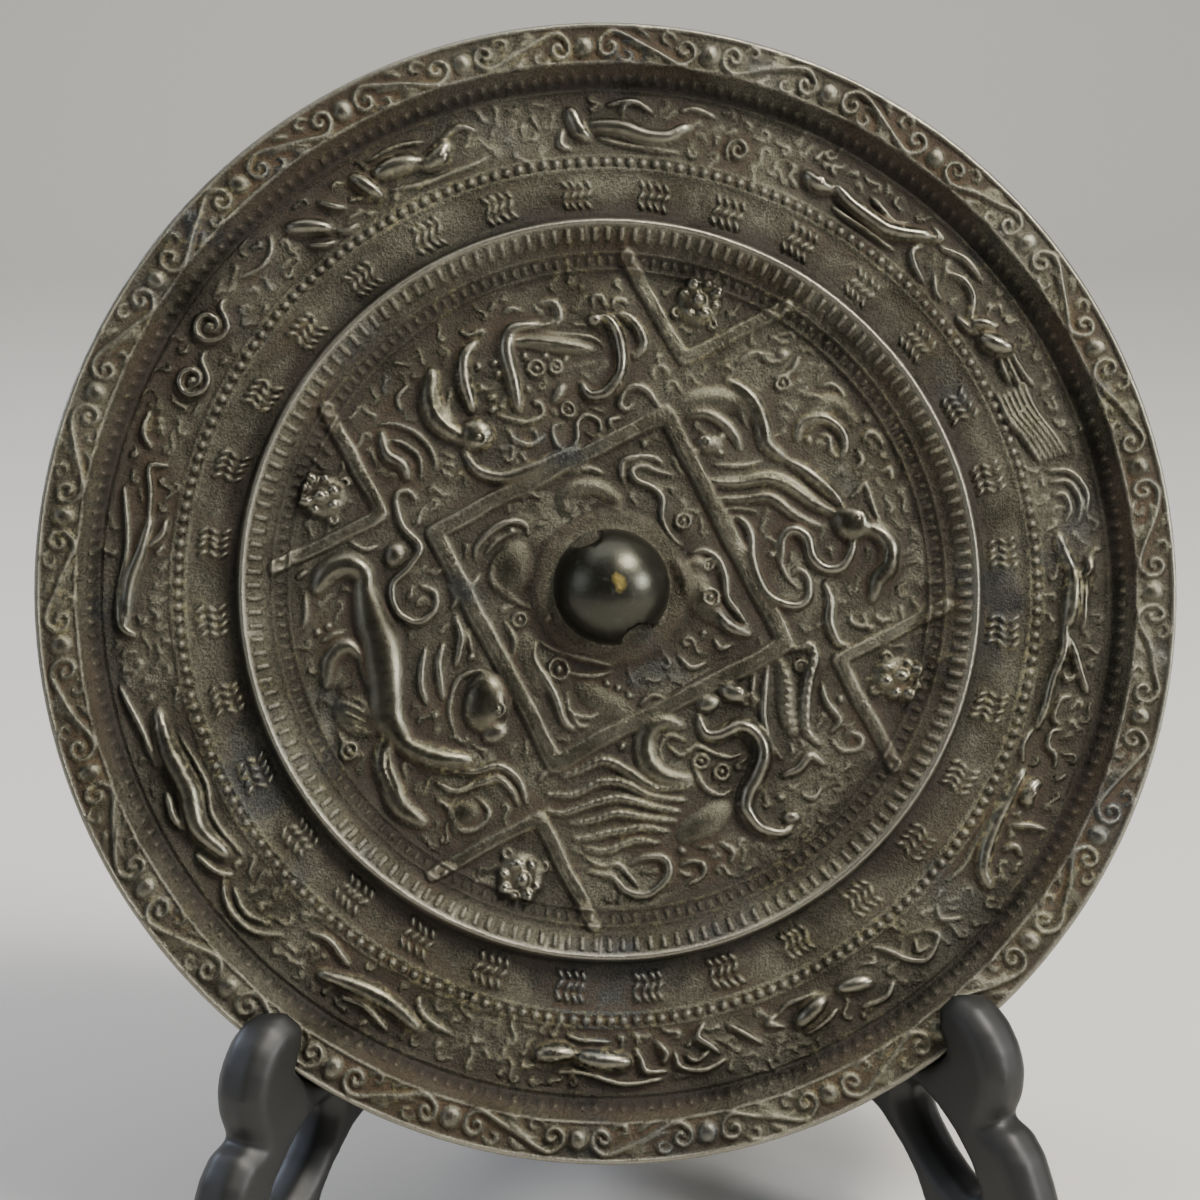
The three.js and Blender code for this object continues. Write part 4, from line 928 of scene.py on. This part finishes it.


# High-tin cast bronze, buried and wiped: dark skin, brown dirt in the hollows, pale silt along the figures,
# painted shade on the low ground and ring slopes, and a painted highlight, partly wear, on the ridge and rim
# tops.
def castBronze():
    material, tree, surface = newMaterial("cast bronze with a wiped burial patina")
    place = addNode(tree, "ShaderNodeTexCoord").outputs["Object"]
    values = {name: addNode(tree, "ShaderNodeAttribute", {"attribute_name": name}).outputs["Fac"]
              for name in ("high", "broad", "front", "knob", "steep", "raised", "ridgeWearAndHighlight", "brass", "slopeDirtAndShade")}
    patterns = {}
    for name, detail, roughness in (("blotch", 5, 0.55), ("fleck", 6, 0.7), ("grain", 4, 0.65),
                                    ("patch", 3, 0.55)):
        patterns[name] = addNode(tree, "ShaderNodeTexNoise", None, {
            "Vector": place, "Scale": 1 / (bronzeLook[name + "Mm"] * mm), "Detail": detail,
            "Roughness": roughness})
    blotch, fleck, grain = (patterns[name].outputs["Fac"] for name in ("blotch", "fleck", "grain"))
    patches = addNode(tree, "ShaderNodeSeparateColor", None,
                      {"Color": patterns["patch"].outputs["Color"]}).outputs

    # where dirt lies, and where the tops are lightened, partly as bare worn metal and partly as a painted
    # highlight
    uneven = addNode(tree, "ShaderNodeMath", {"operation": "MULTIPLY_ADD"},
                     {0: fleck, 1: 1.1, 2: -0.55}).outputs[0]
    spread = addNode(tree, "ShaderNodeMath", {"operation": "ADD"}, {0: values["high"], 1: uneven}).outputs[0]
    hollow = addNode(tree, "ShaderNodeMapRange", None,
                     {"Value": spread, "From Min": -0.02, "From Max": -0.45}).outputs[0]
    hollow = addNode(tree, "ShaderNodeMath", {"operation": "MAXIMUM"},
                     {0: hollow, 1: values["slopeDirtAndShade"]}).outputs[0]
    crestWearAndHighlight = addNode(tree, "ShaderNodeMapRange", None,
                    {"Value": spread, "From Min": 0.55, "From Max": 1.1, "To Max": 0.4}).outputs[0]
    ridgeWearAndHighlight = addNode(tree, "ShaderNodeMath", {"operation": "MULTIPLY"},
                     {0: values["ridgeWearAndHighlight"], 1: 0.8}).outputs[0]
    crestWearAndHighlight = addNode(tree, "ShaderNodeMath", {"operation": "MAXIMUM"}, {0: crestWearAndHighlight, 1: ridgeWearAndHighlight}).outputs[0]
    mottle = addNode(tree, "ShaderNodeMath", {"operation": "MULTIPLY_ADD"},
                     {0: uneven, 1: 0.3, 2: patches[0]}).outputs[0]
    rusty = addNode(tree, "ShaderNodeMapRange", None,
                    {"Value": mottle, "From Min": 0.44, "From Max": 0.6, "To Min": 0.15,
                     "To Max": 0.95}).outputs[0]
    dirty = addNode(tree, "ShaderNodeMath", {"operation": "MULTIPLY"}, {0: hollow, 1: rusty}).outputs[0]
    dirty = addNode(tree, "ShaderNodeMath", {"operation": "MULTIPLY"},
                    {0: dirty, 1: values["front"]}).outputs[0]
    foot = addNode(tree, "ShaderNodeMapRange", None,
                   {"Value": values["steep"], "From Min": 0.2, "From Max": 0.7}).outputs[0]
    siltSpot = addNode(tree, "ShaderNodeMapRange", None,
                       {"Value": fleck, "From Min": 0.5, "From Max": 0.64, "To Max": 0.75}).outputs[0]
    siltArea = addNode(tree, "ShaderNodeMapRange", None,
                       {"Value": patches[1], "From Min": 0.47, "From Max": 0.6}).outputs[0]
    silted = addNode(tree, "ShaderNodeMath", {"operation": "MULTIPLY"}, {0: foot, 1: siltSpot}).outputs[0]
    silted = addNode(tree, "ShaderNodeMath", {"operation": "MULTIPLY"}, {0: silted, 1: siltArea}).outputs[0]

    # the colours, one laid over another
    tone = addNode(tree, "ShaderNodeMath", {"operation": "MULTIPLY_ADD"},
                   {0: uneven, 1: 0.25, 2: blotch}).outputs[0]
    tone = addNode(tree, "ShaderNodeMapRange", None,
                   {"Value": tone, "From Min": 0.36, "From Max": 0.64}).outputs[0]
    slaty = addNode(tree, "ShaderNodeMapRange", None,
                    {"Value": patches[2], "From Min": 0.58, "From Max": 0.68, "To Max": 0.7}).outputs[0]
    coloured = bronzeLook["metalDark"]
    for factor, colour in ((tone, "metal"), (slaty, "slate"), (dirty, "rust"), (silted, "silt"),
                           (crestWearAndHighlight, "worn")):
        coloured = addNode(tree, "ShaderNodeMix", {"data_type": "RGBA"},
                           {0: factor, 6: coloured, 7: bronzeLook[colour]}).outputs[2]
    # painted shade: ground lying low beside the figures is darkened
    shade = addNode(tree, "ShaderNodeMapRange", None,
                    {"Value": values["broad"], "From Min": -0.6, "From Max": 0.15, "To Min": 0.42}).outputs[0]
    # painted shade and dirt together: the ring slopes and the knob's foot are darkened
    slopeShadeAndDirt = addNode(tree, "ShaderNodeMath", {"operation": "MULTIPLY_ADD"},
                   {0: values["slopeDirtAndShade"], 1: -0.4, 2: 1.0}).outputs[0]
    speck = addNode(tree, "ShaderNodeMapRange", None,
                    {"Value": grain, "From Min": 0.38, "From Max": 0.6, "To Min": 0.52,
                     "To Max": 1.15}).outputs[0]
    smooth = addNode(tree, "ShaderNodeMath", {"operation": "MAXIMUM"},
                     {0: crestWearAndHighlight, 1: values["raised"]}).outputs[0]
    smooth = addNode(tree, "ShaderNodeMath", {"operation": "MAXIMUM"},
                     {0: smooth, 1: values["knob"]}).outputs[0]
    coarse = addNode(tree, "ShaderNodeMath", {"operation": "MULTIPLY_ADD"},
                     {0: smooth, 1: -0.8, 2: 0.9}).outputs[0]
    for factor, tint in ((1.0, shade), (1.0, slopeShadeAndDirt), (coarse, speck)):
        coloured = addNode(tree, "ShaderNodeMix", {"data_type": "RGBA", "blend_type": "MULTIPLY"},
                           {0: factor, 6: coloured, 7: tint}).outputs[2]
    for name in ("knob", "brass"):
        coloured = addNode(tree, "ShaderNodeMix", {"data_type": "RGBA"},
                           {0: values[name], 6: coloured, 7: bronzeLook[name]}).outputs[2]
    tree.links.new(coloured, surface.inputs["Base Color"])

    # dirt is dull, figures are smoother than the pitted ground between them
    dull = addNode(tree, "ShaderNodeMath", {"operation": "MAXIMUM"}, {0: dirty, 1: silted}).outputs[0]
    metallic = addNode(tree, "ShaderNodeMath", {"operation": "MULTIPLY_ADD"},
                       {0: dull, 1: -0.8, 2: 0.93}).outputs[0]
    tree.links.new(metallic, surface.inputs["Metallic"])
    rough = addNode(tree, "ShaderNodeMath", {"operation": "MULTIPLY_ADD"},
                    {0: uneven, 1: 0.2, 2: 0.4}).outputs[0]
    rough = addNode(tree, "ShaderNodeMath", {"operation": "MULTIPLY_ADD"},
                    {0: dull, 1: 0.33, 2: rough}).outputs[0]
    rough = addNode(tree, "ShaderNodeMath", {"operation": "MULTIPLY_ADD"},
                    {0: smooth, 1: -0.1, 2: rough}).outputs[0]
    tree.links.new(rough, surface.inputs["Roughness"])
    pits = addNode(tree, "ShaderNodeMath", {"operation": "MULTIPLY_ADD"},
                   {0: fleck, 1: 0.5, 2: grain}).outputs[0]
    bump = addNode(tree, "ShaderNodeBump", None,
                   {"Distance": bronzeLook["pitMm"] * mm, "Height": pits, "Strength": coarse})
    tree.links.new(bump.outputs["Normal"], surface.inputs["Normal"])
    return material


plasticLook = {"colour": "#131413", "roughness": 0.5, "grainMm": 0.6, "grainStrength": 0.15, "ior": 1.54}


# Black ABS, moulded and left satin: broad soft highlights and a faint grain.
def mouldedAbs():
    material, tree, surface = newMaterial("black ABS, moulded satin")
    place = addNode(tree, "ShaderNodeTexCoord").outputs["Object"]
    surface.inputs["Base Color"].default_value = toLinear(plasticLook["colour"])
    surface.inputs["Roughness"].default_value = plasticLook["roughness"]
    surface.inputs["IOR"].default_value = plasticLook["ior"]
    grain = addNode(tree, "ShaderNodeTexNoise", None,
                    {"Vector": place, "Scale": 1 / (plasticLook["grainMm"] * mm), "Detail": 2})
    bump = addNode(tree, "ShaderNodeBump", None,
                   {"Strength": plasticLook["grainStrength"], "Distance": 0.1 * mm,
                    "Height": grain.outputs["Fac"]})
    tree.links.new(bump.outputs["Normal"], surface.inputs["Normal"])
    return material


steelLook = {"colour": "#a3a5a8", "roughness": 0.32}


# Drawn steel rod, brushed: a narrow bright line down the pin.
def brushedSteel():
    material, _, surface = newMaterial("drawn steel, brushed")
    surface.inputs["Base Color"].default_value = toLinear(steelLook["colour"])
    surface.inputs["Metallic"].default_value = 1
    surface.inputs["Roughness"].default_value = steelLook["roughness"]
    return material


# ---- stand leaves

leafLook = {"voxelMm": 0.75, "rounds": 14}


def makeLeaf(side):
    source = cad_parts[f"stand_leaf_{side}"]
    leaf = bpy.data.objects.new(f"leaf_{side}", source.data.copy())
    scene.collection.objects.link(leaf)
    grid = leaf.modifiers.new("grid", "REMESH")
    grid.mode, grid.voxel_size, grid.use_smooth_shade = "VOXEL", leafLook["voxelMm"] * mm, True
    ease = leaf.modifiers.new("ease", "SMOOTH")
    ease.factor, ease.iterations = 0.5, leafLook["rounds"]
    applyModifiers(leaf)
    print(leaf.name, len(leaf.data.polygons), "faces")
    return leaf


# ---- floor, light and camera

studio = {"paper": "#cfccc6", "paperRoughness": 0.85, "world": "#8d8f92", "worldStrength": 0.28,
          "depth": 1.4, "bend": 0.7, "tall": 3.2,
          "wide": 7}


# One sheet of paper: flat under the object, swept up behind it.
def makeStage():
    angles = np.linspace(0, math.pi / 2, 17)
    bendY = studio["depth"] + studio["bend"] * np.sin(angles)
    bendZ = studio["bend"] * (1 - np.cos(angles))
    line = np.vstack([[(-3, 0)], np.column_stack([bendY, bendZ]),
                      [(studio["depth"] + studio["bend"], studio["tall"])]])
    half, count = studio["wide"] / 2, len(line)
    points = np.vstack([np.column_stack([np.full(count, x), line]) for x in (-half, half)])
    j = np.arange(count - 1)
    quads = np.vstack([np.column_stack([j, j + count, j + count + 1]),
                       np.column_stack([j, j + count + 1, j + 1])])
    paper = newObject("paper_sweep", points, quads)
    paper.data.shade_smooth()
    # uncoated paper: no highlight, so the object's shadow reads softly on it
    material, _, surface = newMaterial("pale matt paper")
    surface.inputs["Base Color"].default_value = toLinear(studio["paper"])
    surface.inputs["Roughness"].default_value = studio["paperRoughness"]
    paper.data.materials.append(material)
    world = bpy.data.worlds.new("studio")
    world.use_nodes = True
    backdrop = world.node_tree.nodes["Background"]
    backdrop.inputs["Color"].default_value = toLinear(studio["world"])
    backdrop.inputs["Strength"].default_value = studio["worldStrength"]
    scene.world = world


def addLight(name, place, aim, size, watts, colour="#ffffff"):
    light = bpy.data.lights.new(name, "AREA")
    light.shape, light.size, light.energy, light.color = "SQUARE", size, watts, toLinear(colour)[:3]
    obj = bpy.data.objects.new(name, light)
    obj.location = place
    obj.rotation_euler = (Vector(aim) - Vector(place)).to_track_quat("-Z", "Y").to_euler()
    scene.collection.objects.link(obj)


def makeLights():
    middle = mirrorPlace.translation
    addLight("key, overhead right", (0.5, -0.4, 1.05), middle, 0.28, 17, "#fff8ee")
    addLight("side, right", (0.95, -0.6, 0.5), middle, 0.24, 10, "#ffffff")
    addLight("fill, left", (-1.2, -0.6, 0.6), middle, 0.7, 3, "#eaf1ff")
    addLight("edge, left behind", (-0.9, 0.45, 0.6), middle, 0.3, 6, "#dfe9ff")
    addLight("paper", (0, 0.5, 2.6), (0, 1.6, 0.2), 2.5, 45)


viewLook = {"distance": 0.52, "azimuth": -3.9, "elevation": 14.1, "lens": 81.7, "shift": (-0.0085, -0.0096)}


def makeCamera():
    camera = bpy.data.cameras.new("camera")
    camera.lens, camera.sensor_width = viewLook["lens"], 36
    camera.shift_x, camera.shift_y = viewLook["shift"]
    camera.clip_start, camera.clip_end = 0.02, 40
    turn, rise = math.radians(viewLook["azimuth"]), math.radians(viewLook["elevation"])
    back = Vector((math.sin(turn) * math.cos(rise), -math.cos(turn) * math.cos(rise), math.sin(rise)))
    obj = bpy.data.objects.new("camera", camera)
    obj.location = mirrorPlace.translation + back * viewLook["distance"]
    obj.rotation_euler = (-back).to_track_quat("-Z", "Y").to_euler()
    scene.collection.objects.link(obj)
    scene.camera = obj


# ---- build

makeStage()
makeLights()
makeCamera()
print("stage ready")

carveRelief()
print("relief carved")
mirror = makeMirror()
mirror.data.materials.clear()
mirror.data.materials.append(castBronze())
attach(mirror, "root")
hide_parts("bronze_mirror")

plastic = mouldedAbs()
for side in ("left", "right"):
    leaf = makeLeaf(side)
    leaf.data.materials.clear()
    leaf.data.materials.append(plastic)
    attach(leaf, "root")
    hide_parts(f"stand_leaf_{side}")

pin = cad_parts["stand_hinge_pin"]
pin.data.materials.clear()
pin.data.materials.append(brushedSteel())
print("stand ready")
